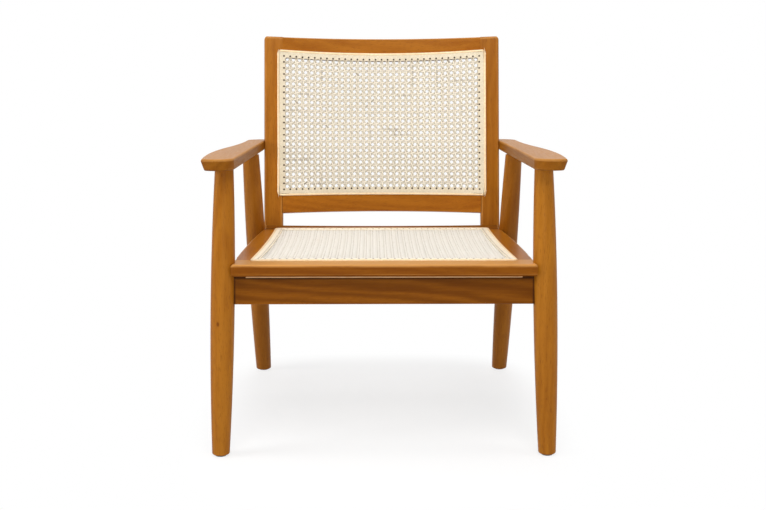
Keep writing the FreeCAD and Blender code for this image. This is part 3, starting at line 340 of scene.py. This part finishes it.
REAR_LEG_GRAIN = Vector((0, -0.219, 0.547)).normalized()
STILE_GRAIN = (0, math.sin(BACK_LEAN), math.cos(BACK_LEAN))
APRON_JOINT = ((0.3495, 0.3550), (0.2805, 0.2845))
# The front rail and the apron are deeper partly in their own tone and partly as painted shade; the rear
# rail's and the arms' deeper tones are painted shade. Faces that look up on the top rail, front rail, arms
# and stiles are paled as a painted highlight.
wood_top_rail = honey_wood("top_rail", ACROSS, (168, 104, 28), (138, 75, 9), 0.0, coat=0.05, paled=0.6)
wood_lower_rail = honey_wood("lower_rail", ACROSS, (171, 104, 23), (139, 75, 8), 2.8)
wood_rear_rail = honey_wood("rear_rail", ACROSS, (138, 82, 24), (108, 58, 8), 3.2, coat=0.03)
wood_front_rail = honey_wood("front_rail", ACROSS, (138, 79, 13), (111, 56, 4), 2.4, coat=0.05, paled=0.88)
wood_apron = honey_wood("apron", ACROSS, (138, 80, 15), (101, 53, 5), 2.0, coat=0.04, figure=0.24,
                        joint=APRON_JOINT)
wood_arms = honey_wood("arms", ALONG, (146, 90, 22), (119, 66, 9), 0.4, coat=0.04, paled=0.42)
wood_sides = honey_wood("sides", ALONG, (172, 106, 28), (140, 76, 10), 3.6)
wood_front_legs = honey_wood("front_legs", UP, (170, 108, 29), (140, 79, 11), 0.8, knot=KNOT)
wood_rear_legs = honey_wood("rear_legs", REAR_LEG_GRAIN, (164, 102, 28), (132, 74, 12), 1.2)
wood_stiles = honey_wood("stiles", STILE_GRAIN, (163, 101, 26), (133, 73, 9), 1.6, paled=0.6)
# The cane frames under the panels are dark brown as painted shade, so the small holes that show them look
# dark.
hole_shade_wood = timber("hole_shade_wood", ACROSS, (86, 52, 26), (62, 36, 16), (40, 22, 10), 0.2, (104, 66, 36))
pale_wood = timber("unfinished_wood", UP, (206, 176, 130), (172, 136, 90), (120, 88, 54), 0.22,
                   (220, 194, 150))


# Cane, metal and plastic

STRIP_LAYERS = ("along", "across", "strip", "height")

# How much of the edge colour shows where a strip has a joint, and, as painted shade, where it dips
JOINT_DEPTH, DIP_SHADE_DEPTH = 0.5, 0.7

CANE_SPECULAR, CANE_RELIEF, TRIM_RELIEF = 0.35, 0.00015, 0.00012
METAL_RELIEF, PLASTIC_RELIEF = 0.00003, 0.00004


def cane(name, skin, core, edge, rim_shade_share, roughness, outward):
    """Split cane: fibres along each strip, a tone of its own for each, with painted shade at its edges and
    dips.

    A dip is where a strip passes under another, as seen from either side of the panel.
    """
    made, tree, shader = material(name)
    skin, core, edge = (shade(*tone) for tone in (skin, core, edge))
    along, across, strip, height = (add(tree, "ShaderNodeAttribute", attribute_name=label).outputs["Fac"]
                                    for label in STRIP_LAYERS)
    fibre = speckle(tree, combined(tree, (along, 55.0), (across, 2.4), (strip, 37.0)),
                    detail=4, roughness=0.6)
    lengths = speckle(tree, combined(tree, (along, 9.0), None, (strip, 91.0)), detail=1)
    joints = ramp(tree, lengths, 0.66, 0.74, 0.0, JOINT_DEPTH)
    own = speckle(tree, combined(tree, (strip, 53.0)), detail=0)
    tone = maths(tree, "ADD", maths(tree, "MULTIPLY", fibre, 0.6), maths(tree, "MULTIPLY", own, 0.5))
    colour = blended(tree, joints, blended(tree, ramp(tree, tone, 0.3, 0.8), core, skin), edge)
    # Painted shade along each strip's edges and where it dips under another.
    rim_shade = ramp(tree, maths(tree, "ABSOLUTE", across), 0.5, 1.0, 0.0, rim_shade_share)
    normal = add(tree, "ShaderNodeNewGeometry").outputs["Normal"]
    facing = vectors(tree, "DOT_PRODUCT", normal, outward, "Value")
    lift = maths(tree, "MULTIPLY", height, maths(tree, "SIGN", facing))
    dip_shade = ramp(tree, lift, -0.95, 0.1, DIP_SHADE_DEPTH * rim_shade_share, 0.0)
    feed(tree, shader, {"Base Color": blended(tree, maths(tree, "MAXIMUM", rim_shade, dip_shade), colour, edge),
                        "Roughness": ramp(tree, fibre, 0.3, 0.7, roughness, roughness + 0.14),
                        "Specular IOR Level": CANE_SPECULAR})
    bumped(tree, shader, fibre, CANE_RELIEF)
    return made


def trim_cane(name, skin, core, streaks):
    """Peeled cane of the bindings, beads and reed, with fine streaks and faint blotches."""
    made, tree, shader = material(name)
    skin, core = shade(*skin), shade(*core)
    place = object_place(tree)
    fibre = speckle(tree, vectors(tree, "MULTIPLY", place, streaks), detail=4, roughness=0.6)
    streaky = blended(tree, ramp(tree, fibre, 0.3, 0.7), core, skin)
    feed(tree, shader, {
        "Base Color": placed(tree, DUST, Vector=place, Color=streaky, Dust=core, Amount=0.5)["Color"],
        "Roughness": ramp(tree, fibre, 0.3, 0.7, 0.42, 0.58), "Specular IOR Level": CANE_SPECULAR})
    bumped(tree, shader, fibre, TRIM_RELIEF)
    return made


def plain_metal(name, bright, dull, roughness):
    """Turned metal with faint scratches and a dull bloom."""
    made, tree, shader = material(name)
    place = object_place(tree)
    enlarged = vectors(tree, "MULTIPLY", place, (8, 8, 8))
    bloom = placed(tree, DUST, Vector=enlarged, Color=shade(*bright), Dust=shade(*dull), Amount=0.7)
    scratches = speckle(tree, vectors(tree, "MULTIPLY", place, (900, 2400, 900)))
    feed(tree, shader, {"Base Color": bloom["Color"], "Metallic": 1.0,
                        "Roughness": ramp(tree, scratches, 0.3, 0.7, roughness, roughness + 0.2)})
    bumped(tree, shader, scratches, METAL_RELIEF)
    return made


def moulded_plastic(name, colour, scuffed):
    """Dark moulded plastic with a fine grain and pale scuffs."""
    made, tree, shader = material(name)
    place = object_place(tree)
    enlarged = vectors(tree, "MULTIPLY", place, (6, 6, 6))
    scuffs = placed(tree, DUST, Vector=enlarged, Color=shade(*colour), Dust=shade(*scuffed), Amount=0.6)
    grain = speckle(tree, place, scale=2600, detail=1)
    feed(tree, shader, {"Base Color": scuffs["Color"], "Roughness": ramp(tree, grain, 0.3, 0.7, 0.45, 0.6)})
    bumped(tree, shader, grain, PLASTIC_RELIEF)
    return made


FINE_STREAKS, BEAD_STREAKS, REED_STREAKS = (300, 300, 300), (160, 160, 160), (60, 600, 600)
back_cane = cane("back_cane", (251, 243, 226), (239, 228, 205), (84, 66, 42), 1.0, 0.40, BACK_OUTWARD)
# The slanting strips are a darker copy of the back's cane, as painted shade where they lie behind the others.
back_slant_shaded = cane("back_slanting_shaded_cane", (224, 213, 190), (200, 187, 162), (76, 58, 36), 1.0, 0.45,
                  BACK_OUTWARD)
seat_cane = cane("seat_cane", (243, 240, 233), (238, 233, 224), (208, 198, 181), 0.45, 0.45, SEAT_OUTWARD)
back_binding = trim_cane("back_binding_cane", (226, 213, 189), (208, 194, 166), FINE_STREAKS)
seat_binding = trim_cane("seat_binding_cane", (252, 243, 224), (244, 230, 204), FINE_STREAKS)
# Dark cane on the holes' walls and sunk rims is painted shade.
hole_shade_cane = trim_cane("hole_shade_cane", (84, 60, 36), (60, 42, 26), FINE_STREAKS)
reed_cane = trim_cane("reed_cane", (226, 184, 138), (206, 158, 110), REED_STREAKS)
bead_cane = trim_cane("bead_cane", (250, 226, 188), (238, 206, 160), BEAD_STREAKS)
steel = plain_metal("zinc_steel", (196, 198, 200), (150, 150, 148), 0.28)
brass = plain_metal("insert_brass", (206, 172, 96), (158, 124, 62), 0.3)
plastic = moulded_plastic("glide_plastic", (58, 54, 50), (112, 106, 98))


# Pieces of wood

# Roundings tighter than this wear and get a painted sheen, but for faces that look further down than this
WORN_SHEEN_RADIUS, WORN_SHEEN_LOWEST = 0.0056, -0.2
WORN_SHEEN_BEND_LEAST, WORN_SHEEN_BEND_MOST = math.radians(3), math.radians(50)

# How much is taken off sawn edges, the shortest edge that is eased, and the corners that count as sawn
APRON_EASED, BLOCK_EASED = 0.0012, 0.001
EASED_SHORTEST = 0.03
SAWN_LEAST, SAWN_MOST = math.radians(60), math.radians(120)
SAWN_FLAT = math.radians(0.2)

# The lip at the back of the seat: its run, its height at the ends, and how much lower it is in the middle
LIP_RUN, LIP_HEIGHT, LIP_SAG = 0.012, 0.0045, 0.0015

# The lip's cuts on each side of its middle, which let it bend, and their step
LIP_CUTS, LIP_CUT_STEP = 6, 0.04

# Points are lifted within this depth of the rail's top, from this share of the lip's run on
LIP_SKIN, LIP_STARTS = 0.001, 0.01

# The stiles' tops: where their inner corner is square, and where and how much they rise outwards
STILE_WIDTH, STILE_ROUND = 0.0425, 0.0052
STILE_SQUARE_FROM = 0.404
STILE_TOP_FROM, STILE_TOP_RUN, STILE_TOP_RISE = 0.4305, 0.007, 0.0028


def piece(name, bm, finish, slot, *replaced, crisp=30):
    """Make a bmesh a piece of the chair, shaded smooth but for corners sharper than an angle in degrees."""
    bm.normal_update()
    for face in bm.faces:
        face.smooth = True
    for edge in bm.edges:
        edge.smooth = edge.calc_face_angle(0) < math.radians(crisp)
    mesh = bpy.data.meshes.new(name)
    bm.to_mesh(mesh)
    bm.free()
    if "custom_normal" in mesh.attributes:
        mesh.attributes.remove(mesh.attributes["custom_normal"])
    mesh.materials.append(finish)
    made = bpy.data.objects.new(name, mesh)
    bpy.context.scene.collection.objects.link(made)
    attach(made, "root")
    if replaced:
        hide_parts(*replaced)
    return made


def evened(made):
    """Keep flat faces flat up to the roundings beside them."""
    weighted = made.modifiers.new("even_normals", "WEIGHTED_NORMAL")
    weighted.keep_sharp = True
    return made


def shaped_copy(node):
    """The joined-up mesh of a CAD node."""
    bm = bmesh.new()
    bm.from_mesh(frame["nodes"][node].data)
    bmesh.ops.remove_doubles(bm, verts=bm.verts, dist=MERGED)
    return bm


def ease_long_edges(bm, offset):
    """Break the long sharp edges of a piece that came off the saw square."""
    bmesh.ops.dissolve_limit(bm, angle_limit=SAWN_FLAT, verts=bm.verts, edges=bm.edges)
    sharp = [edge for edge in bm.edges
             if edge.is_manifold and edge.calc_length() > EASED_SHORTEST
             and SAWN_LEAST < edge.calc_face_angle() < SAWN_MOST]
    bmesh.ops.bevel(bm, geom=sharp, offset=offset, offset_type="OFFSET", segments=2, profile=0.5,
                    affect="EDGES", clamp_overlap=False, material=-1)


def note_worn_sheen_edges(bm):
    """Mark the tightly rounded faces of a piece, where its finish wears and where a sheen is painted."""
    worn_sheen = bm.faces.layers.float.new(WORN_SHEEN_LAYER)
    bm.normal_update()
    for edge in bm.edges:
        bend = edge.calc_face_angle(0)
        if len(edge.link_faces) == 2 and WORN_SHEEN_BEND_LEAST < bend < WORN_SHEEN_BEND_MOST:
            apart = edge.link_faces[0].calc_center_median() - edge.link_faces[1].calc_center_median()
            run = (edge.verts[1].co - edge.verts[0].co).normalized()
            if (apart - run * apart.dot(run)).length < bend * WORN_SHEEN_RADIUS:
                for face in edge.link_faces:
                    face[worn_sheen] = float(face.normal.z > WORN_SHEEN_LOWEST)


def cut_through(bm, planes, **settings):
    """Cut a bmesh at each (point, direction)."""
    for point, direction in planes:
        geometry = bm.verts[:] + bm.edges[:] + bm.faces[:]
        bmesh.ops.bisect_plane(bm, geom=geometry, dist=SLIVER, plane_co=point, plane_no=direction, **settings)


def timber_piece(node, finish, slot="honey_wood", eased=0.0, worn_sheen=True):
    """A wooden piece, shaped as the CAD has it and finished by hand."""
    bm = shaped_copy(node)
    if eased:
        ease_long_edges(bm, eased)
    if worn_sheen:
        note_worn_sheen_edges(bm)
    evened(piece(f"{node}_dressed", bm, finish, slot, node))


def lipped_rail(node, finish):
    """A rail whose rear edge turns up a little, less so in the middle."""
    bm = shaped_copy(node)
    cuts = [(SEAT @ Vector((LIP_CUT_STEP * count, 0, 0)), Vector(ACROSS))
            for count in range(-LIP_CUTS, LIP_CUTS + 1)]
    cuts.append((SEAT @ Vector((0, SEAT_DEPTH - LIP_RUN, 0)), SEAT.to_3x3() @ Vector(ALONG)))
    cut_through(bm, cuts)
    for vert in bm.verts:
        spot = SEAT.inverted() @ vert.co
        share = (spot.y - SEAT_DEPTH + LIP_RUN) / LIP_RUN
        if share > LIP_STARTS and spot.z > -LIP_SKIN:
            spot.z += min(share, 1) * (LIP_HEIGHT - LIP_SAG * (1 - (spot.x / BACK_INNER) ** 2))
            vert.co = SEAT @ spot
    note_worn_sheen_edges(bm)
    evened(piece(f"{node}_dressed", bm, finish, "honey_wood", node))


def stile_piece(side, finish):
    """An upright whose inner corner stays square at the top rail and whose top runs on in its curve."""
    bm = shaped_copy(f"back_stile_{side}")
    for vert in bm.verts:
        spot = BACK.inverted() @ vert.co
        inner = abs(spot.x) < BACK_INNER + STILE_ROUND and spot.y < STILE_ROUND
        if inner and spot.z > STILE_SQUARE_FROM:
            spot = Vector((math.copysign(BACK_INNER, spot.x), 0, spot.z))
        outer = (abs(spot.x) - BACK_INNER) / STILE_WIDTH
        upper = (spot.z - STILE_TOP_FROM) / STILE_TOP_RUN
        spot.z += STILE_TOP_RISE * max(outer, 0) * min(max(upper, 0), 1)
        vert.co = BACK @ spot
    bmesh.ops.remove_doubles(bm, verts=bm.verts, dist=MERGED)
    bmesh.ops.dissolve_degenerate(bm, edges=bm.edges, dist=SLIVER)
    note_worn_sheen_edges(bm)
    evened(piece(f"back_stile_{side}_dressed", bm, finish, "honey_wood", f"back_stile_{side}"))


timber_piece("seat_front_rail", wood_front_rail)
lipped_rail("seat_rear_rail", wood_rear_rail)
timber_piece("back_top_rail", wood_top_rail)
timber_piece("back_lower_rail", wood_lower_rail)
for node in ("front_apron", "rear_apron"):
    timber_piece(node, wood_apron, eased=APRON_EASED)
for side in ("left", "right"):
    timber_piece(f"armrest_{side}", wood_arms)
    timber_piece(f"seat_side_rail_{side}", wood_sides)
    timber_piece(f"side_apron_{side}", wood_sides, eased=APRON_EASED)
    timber_piece(f"front_leg_{side}", wood_front_legs, worn_sheen=False)
    timber_piece(f"rear_leg_{side}", wood_rear_legs, worn_sheen=False)
    stile_piece(side, wood_stiles)
    for end in ("front", "rear"):
        timber_piece(f"corner_block_{end}_{side}", pale_wood, slot="inner_wood", eased=BLOCK_EASED)


# Woven cane

# Half the distance between paired strips, the width of those and the width of the slanting ones
BACK_STRIPS = (0.00175, 0.0030, 0.0027)
SEAT_STRIPS = (0.0031, 0.0034, 0.0034)
STRIP_THICK = 0.0007
STRIP_CROWN = 0.00025
WEAVE_RISE = 0.0009
WEAVE_CENTRE = 0.00155
STEPS_PER_HOLE = 4

# How far a strip strays sideways, how fast from hole to hole, and how unlike its neighbours
STRIP_WANDER, WANDER_PACE, WANDER_APART = 0.00018, 0.35, 7.3

BACK_COLUMNS, BACK_ROWS = 32, 22
BACK_WIDE, BACK_TALL = 2 * BACK_HOLE_HALF, BACK_HOLE_HIGH - BACK_HOLE_LOW
BACK_PITCH = (BACK_WIDE / BACK_COLUMNS, BACK_TALL / BACK_ROWS)
SEAT_COLUMNS, SEAT_ROWS = 35, 30
SEAT_WIDE, SEAT_LONG = 2 * SEAT_HOLE_FRONT_HALF, SEAT_HOLE_REAR - SEAT_HOLE_FRONT
SEAT_TAPER = (SEAT_HOLE_FRONT_HALF - SEAT_HOLE_REAR_HALF) / SEAT_LONG
SEAT_PITCH = (SEAT_WIDE / SEAT_COLUMNS, SEAT_LONG / SEAT_ROWS)


def strip_of_cane(bm, start, step, holes, width, wave, pitch, number):
    """One strip, laid flat in the panel's plane from a start in holes, a step of holes at a time.

    A start also has its shift from those holes, in metres.
    """
    along, across, strip, height = (bm.verts.layers.float[label] for label in STRIP_LAYERS)
    run = Vector((step[0] * pitch[0], step[1] * pitch[1], 0))
    aside = Vector((-run.y, run.x, 0)).normalized()
    begin = Vector((start[0] * pitch[0] + start[2], start[1] * pitch[1] + start[3], 0))
    own = noise.cell(Vector((number * 3.7, start[0] * 1.3 + start[1] * 2.9, width * 1000)))
    grid = bmesh.ops.create_grid(bm, x_segments=STEPS_PER_HOLE * holes, y_segments=2, size=0.5)
    for vert in grid["verts"]:
        reach, side = (vert.co.x + 0.5) * holes, vert.co.y * 2
        wander = noise.noise(Vector((reach * WANDER_PACE, number * WANDER_APART, start[0]))) * STRIP_WANDER
        vert[height] = wave(reach)
        rise = WEAVE_RISE * vert[height] + STRIP_CROWN * (1 - side * side)
        vert.co = begin + run * reach + aside * (side * width / 2 + wander) + Vector((0, 0, rise))
        vert[along] = reach * run.length
        vert[across] = side
        vert[strip] = own


def cane_bmesh():
    """An empty bmesh that keeps each strip's own coordinates."""
    bm = bmesh.new()
    for label in STRIP_LAYERS:
        bm.verts.layers.float.new(label)
    return bm


def weave(columns, rows, pitch, strips):
    """The four sets of strips of a six-way weave over columns by rows of holes, from its first corner."""
    pair_half, paired, slanting = strips

    def turn(reach):
        return 2 * math.pi * reach

    sets = {name: cane_bmesh() for name in ("uprights", "crosswise", "rising", "falling")}
    number = 0
    for sign in (-1, 1):
        for column in range(columns + 1):
            number += 1
            strip_of_cane(sets["uprights"], (column, 0, sign * pair_half, 0), (0, 1), rows, paired,
                          lambda reach: -sign * math.sin(turn(reach)), pitch, number)
        for row in range(rows + 1):
            number += 1
            strip_of_cane(sets["crosswise"], (0, row, 0, sign * pair_half), (1, 0), columns, paired,
                          lambda reach: sign * math.sin(turn(reach)), pitch, number)
    for row in range(-columns, rows):
        number += 1
        first = max(0, -row - 1)
        last = min(columns, rows - row)
        strip_of_cane(sets["rising"], (first, first + row + 0.5, 0, 0), (1, 1), last - first, slanting,
                      lambda reach: -math.cos(turn(reach)), pitch, number)
        strip_of_cane(sets["falling"], (first, rows - first - row - 0.5, 0, 0), (1, -1), last - first,
                      slanting, lambda reach: math.cos(turn(reach)), pitch, number)
    return sets


def panel_sides(wide, long, taper=0.0):
    """The four sides of a flat panel, where its strands end, as (point, outward direction)."""
    return (((STRAND_SHORT, 0, 0), (-1, taper, 0)), ((wide - STRAND_SHORT, 0, 0), (1, taper, 0)),
            ((0, STRAND_SHORT, 0), (0, -1, 0)), ((0, long - STRAND_SHORT, 0), (0, 1, 0)))


def panel_of_cane(panel, paired, slanting, woven, sides, place):
    """Cut a woven panel to its sides, give the strips their thickness and lay them in the frame."""
    for label, bm in woven.items():
        finish = slanting if label in ("rising", "falling") else paired
        cut_through(bm, sides, clear_outer=True)
        bmesh.ops.solidify(bm, geom=bm.faces[:], thickness=STRIP_THICK)
        bmesh.ops.recalc_face_normals(bm, faces=bm.faces[:])
        for vert in bm.verts:
            vert.co = place(vert.co)
        piece(f"{panel}_weave_{label}", bm, finish, "cane_weave", f"{panel}_cane_webbing", crisp=50)


def back_place(point):
    """From the back's flat weave, first corner at the lower left, to its curved place."""
    half, rise = BACK_HOLE_HALF, BACK_TALL / 2
    across, up = point.x - half, point.y - rise
    bow = BACK_EDGE_BOW * (1 - (across / half) ** 2)
    depth = BACK_BOW - BACK_RADIUS + math.sqrt(BACK_RADIUS ** 2 - across ** 2)
    height = BACK_HOLE_LOW + rise + up * (1 - bow / rise)
    return BACK @ Vector((across, depth + WEAVE_CENTRE - point.z, height))


def seat_place(point):
    """From the seat's flat weave, first corner at the front left, to its place."""
    share = point.y / SEAT_LONG
    half = SEAT_HOLE_FRONT_HALF + share * (SEAT_HOLE_REAR_HALF - SEAT_HOLE_FRONT_HALF)
    bow = 4 * share * (1 - share) * SEAT_EDGE_BOW
    across = (point.x - SEAT_HOLE_FRONT_HALF) * (1 - bow / half)
    return SEAT @ Vector((across, SEAT_HOLE_FRONT + point.y, point.z - WEAVE_CENTRE))


panel_of_cane("back", back_cane, back_slant_shaded, weave(BACK_COLUMNS, BACK_ROWS, BACK_PITCH, BACK_STRIPS),
              panel_sides(BACK_WIDE, BACK_TALL), back_place)
panel_of_cane("seat", seat_cane, seat_cane, weave(SEAT_COLUMNS, SEAT_ROWS, SEAT_PITCH, SEAT_STRIPS),
              panel_sides(SEAT_WIDE, SEAT_LONG, SEAT_TAPER), seat_place)


# Bindings, beads and reed

# How near its row of holes a wall counts as a hole's own, and how much the holes' rims are sunk
HOLE_REACH, HOLE_SINK = 0.0017, 0.0006

# A face that agrees with the outward direction by more than this looks that way
FACING = 0.5

# How wide the beads are rounded, at corners sharper than this
BEAD_ROUND, BEAD_CORNER = 0.0019, math.radians(50)


def off_back_holes(point):
    """How far a point of the back's binding lies from its row of holes."""
    spot = BACK.inverted() @ point
    bow = BACK_EDGE_BOW * (1 - (spot.x / BACK_HOLE_HALF) ** 2)
    return min(abs(BACK_HOLE_HALF - abs(spot.x)), abs(spot.z - BACK_HOLE_LOW - bow),
               abs(BACK_HOLE_HIGH - bow - spot.z))


def off_seat_holes(point):
    """How far a point of the seat's binding lies from its row of holes."""
    spot = SEAT.inverted() @ point
    share = (spot.y - SEAT_HOLE_FRONT) / SEAT_LONG
    half = SEAT_HOLE_FRONT_HALF - share * SEAT_TAPER * SEAT_LONG - 4 * share * (1 - share) * SEAT_EDGE_BOW
    return min(abs(spot.y - SEAT_HOLE_FRONT), abs(SEAT_HOLE_REAR - spot.y), abs(half - abs(spot.x)))


def binding(panel, finish, outward, off_holes):
    """The flat strip over the strands' ends, with its small holes a little sunk and their walls and rims dark
    as painted shade.
    """
    bm = shaped_copy(f"{panel}_cane_binding")
    for face in bm.faces:
        upright_wall = abs(face.normal.dot(outward)) < FACING
        if upright_wall and off_holes(face.calc_center_median()) < HOLE_REACH:
            face.material_index = 1
    rims = [edge for edge in bm.edges if {face.material_index for face in edge.link_faces} == {0, 1}
            and max(face.normal.dot(outward) for face in edge.link_faces) > FACING]
    bmesh.ops.bevel(bm, geom=rims, offset=HOLE_SINK, offset_type="OFFSET", segments=1, profile=0.5,
                    affect="EDGES", clamp_overlap=False, material=1)
    made = evened(piece(f"{panel}_binding_strip", bm, finish, "cane_trim", f"{panel}_cane_binding"))
    made.data.materials.append(hole_shade_cane)


def round_bead(panel):
    """The rounded cane along a panel's edge."""
    bead = shaped_copy(f"{panel}_edge_bead")
    made = evened(piece(f"{panel}_round_bead", bead, bead_cane, "cane_trim", f"{panel}_edge_bead", crisp=60))
    rounding = made.modifiers.new("rounding", "BEVEL")
    rounding.width = BEAD_ROUND
    rounding.segments = 4
    rounding.limit_method = "ANGLE"
    rounding.angle_limit = BEAD_CORNER
    rounding.use_clamp_overlap = False


binding("back", back_binding, BACK_OUTWARD, off_back_holes)
binding("seat", seat_binding, SEAT_OUTWARD, off_seat_holes)
round_bead("back")
round_bead("seat")
evened(piece("seat_reed", shaped_copy("seat_front_reed"), reed_cane, "cane_trim", "seat_front_reed"))


# Hidden joinery and fixings keep their CAD shapes

CARRIED_OVER = (
    (pale_wood, "inner_wood", ("arm_dowels", "back_frame_dowels", "front_apron_dowels", "rear_apron_dowels",
                               "seat_frame_dowels", "side_apron_dowels")),
    # The cane frames take the dark wood that is painted shade for the holes.
    (hole_shade_wood, "inner_wood", ("back_cane_frame", "seat_cane_frame")),
    (wood_stiles, "honey_wood", ("arm_screw_plugs",)),
    (steel, "screw_steel", ("arm_screws", "back_bolts", "back_panel_screws", "seat_fixing_screws",
                            "seat_panel_screws")),
    (brass, "insert_brass", ("back_bolt_inserts",)),
    (plastic, "glide_plastic", ("foot_glides",)),
)
for finish, slot, carried in CARRIED_OVER:
    for node in carried:
        kept = frame["nodes"][node]
        kept.data.materials.clear()
        kept.data.materials.append(finish)


# Studio

WHITE = (1, 1, 1, 1)
FLOOR_SEEN, FLOOR_LIT = (0.96, 0.96, 0.96, 1), (0.7, 0.7, 0.7, 1)
FLOOR_HALF = 9

# The floor's shaded patch: how far forward its middle lies, and its half width and half depth
PATCH_FORWARD, PATCH_WIDE, PATCH_DEEP = 0.05, 0.39, 0.5

# The share of white at that patch's middle, and where it ends, as the sum of both halves' fourth powers
PATCH_WHITE, PATCH_END = 0.62, 1.2

FILL_LEVEL = 0.26

# Name, place, target, size, power, and whether glossy surfaces mirror it
LAMPS = (
    ("key_lamp", (0, -1.6, 2.4), (0, 0, 0.4), 1.5, 37, True),
    ("top_lamp", (0, 0.2, 2.6), (0, 0, 0.3), 2.0, 18, True),
    ("left_lamp", (-2.1, -0.7, 1.1), (0, 0, 0.3), 1.0, 23, True),
    ("right_lamp", (2.1, -0.7, 1.1), (0, 0, 0.3), 1.0, 9, True),
    ("low_lamp", (0, -2.6, 0.2), (0, 0.3, 0.15), 1.0, 18, False),
    ("rear_lamp", (0, 2.6, 1.5), (0, 0.2, 0.5), 1.6, 12, False),
)


def seen_directly(tree):
    """1 for rays from the camera, a reflection or through glass, 0 for light that bounces off."""
    rays = add(tree, "ShaderNodeLightPath").outputs
    direct = maths(tree, "ADD", rays["Is Camera Ray"], rays["Is Glossy Ray"])
    return maths(tree, "ADD", direct, rays["Is Transmission Ray"], use_clamp=True)


def studio_floor():
    """A pale floor that runs out into white past the chair's feet."""
    bm = bmesh.new()
    bmesh.ops.create_grid(bm, x_segments=1, y_segments=1, size=FLOOR_HALF)
    mesh = bpy.data.meshes.new("studio_floor")
    bm.to_mesh(mesh)
    bm.free()
    floor = bpy.data.objects.new("studio_floor", mesh)
    bpy.context.scene.collection.objects.link(floor)
    made = bpy.data.materials.new("studio_floor")
    made.use_nodes = True
    tree = made.node_tree
    tree.nodes.clear()
    shares = add(tree, "ShaderNodeMapping", {
        "Vector": object_place(tree), "Location": (0, PATCH_FORWARD / PATCH_DEEP, 0),
        "Scale": (1 / PATCH_WIDE, 1 / PATCH_DEEP, 0)}).outputs[0]
    squares = vectors(tree, "MULTIPLY", shares, shares)
    away = vectors(tree, "DOT_PRODUCT", squares, squares, "Value")
    seen = seen_directly(tree)
    fade = maths(tree, "MULTIPLY", ramp(tree, away, 0.0, PATCH_END, PATCH_WHITE, 1.0), seen)
    lit = add(tree, "ShaderNodeBsdfDiffuse", {"Color": blended(tree, seen, FLOOR_LIT, FLOOR_SEEN)})
    white = add(tree, "ShaderNodeEmission", {"Color": WHITE, "Strength": 1.0})
    mixed = add(tree, "ShaderNodeMixShader", {0: fade, 1: lit.outputs[0], 2: white.outputs[0]})
    add(tree, "ShaderNodeOutputMaterial", {"Surface": mixed.outputs[0]})
    mesh.materials.append(made)


def studio_world():
    """Even light all round, white where it is seen."""
    world = bpy.data.worlds.new("studio")
    world.use_nodes = True
    tree = world.node_tree
    tree.nodes.clear()
    fill = add(tree, "ShaderNodeBackground", {"Color": WHITE, "Strength": FILL_LEVEL})
    white = add(tree, "ShaderNodeBackground", {"Color": WHITE, "Strength": 1.0})
    mixed = add(tree, "ShaderNodeMixShader",
                {0: seen_directly(tree), 1: fill.outputs[0], 2: white.outputs[0]})
    add(tree, "ShaderNodeOutputWorld", {"Surface": mixed.outputs[0]})
    bpy.context.scene.world = world


def soft_lamp(name, place, target, size, power, mirrored):
    """A large square lamp aimed at a point, which glossy surfaces can mirror or not."""
    lamp = bpy.data.objects.new(name, bpy.data.lights.new(name, "AREA"))
    lamp.data.size = size
    lamp.data.energy = power
    lamp.visible_glossy = mirrored
    lamp.location = place
    lamp.rotation_euler = (Vector(target) - Vector(place)).to_track_quat("-Z", "Y").to_euler()
    bpy.context.scene.collection.objects.link(lamp)


studio_floor()
studio_world()
for lamp in LAMPS:
    soft_lamp(*lamp)
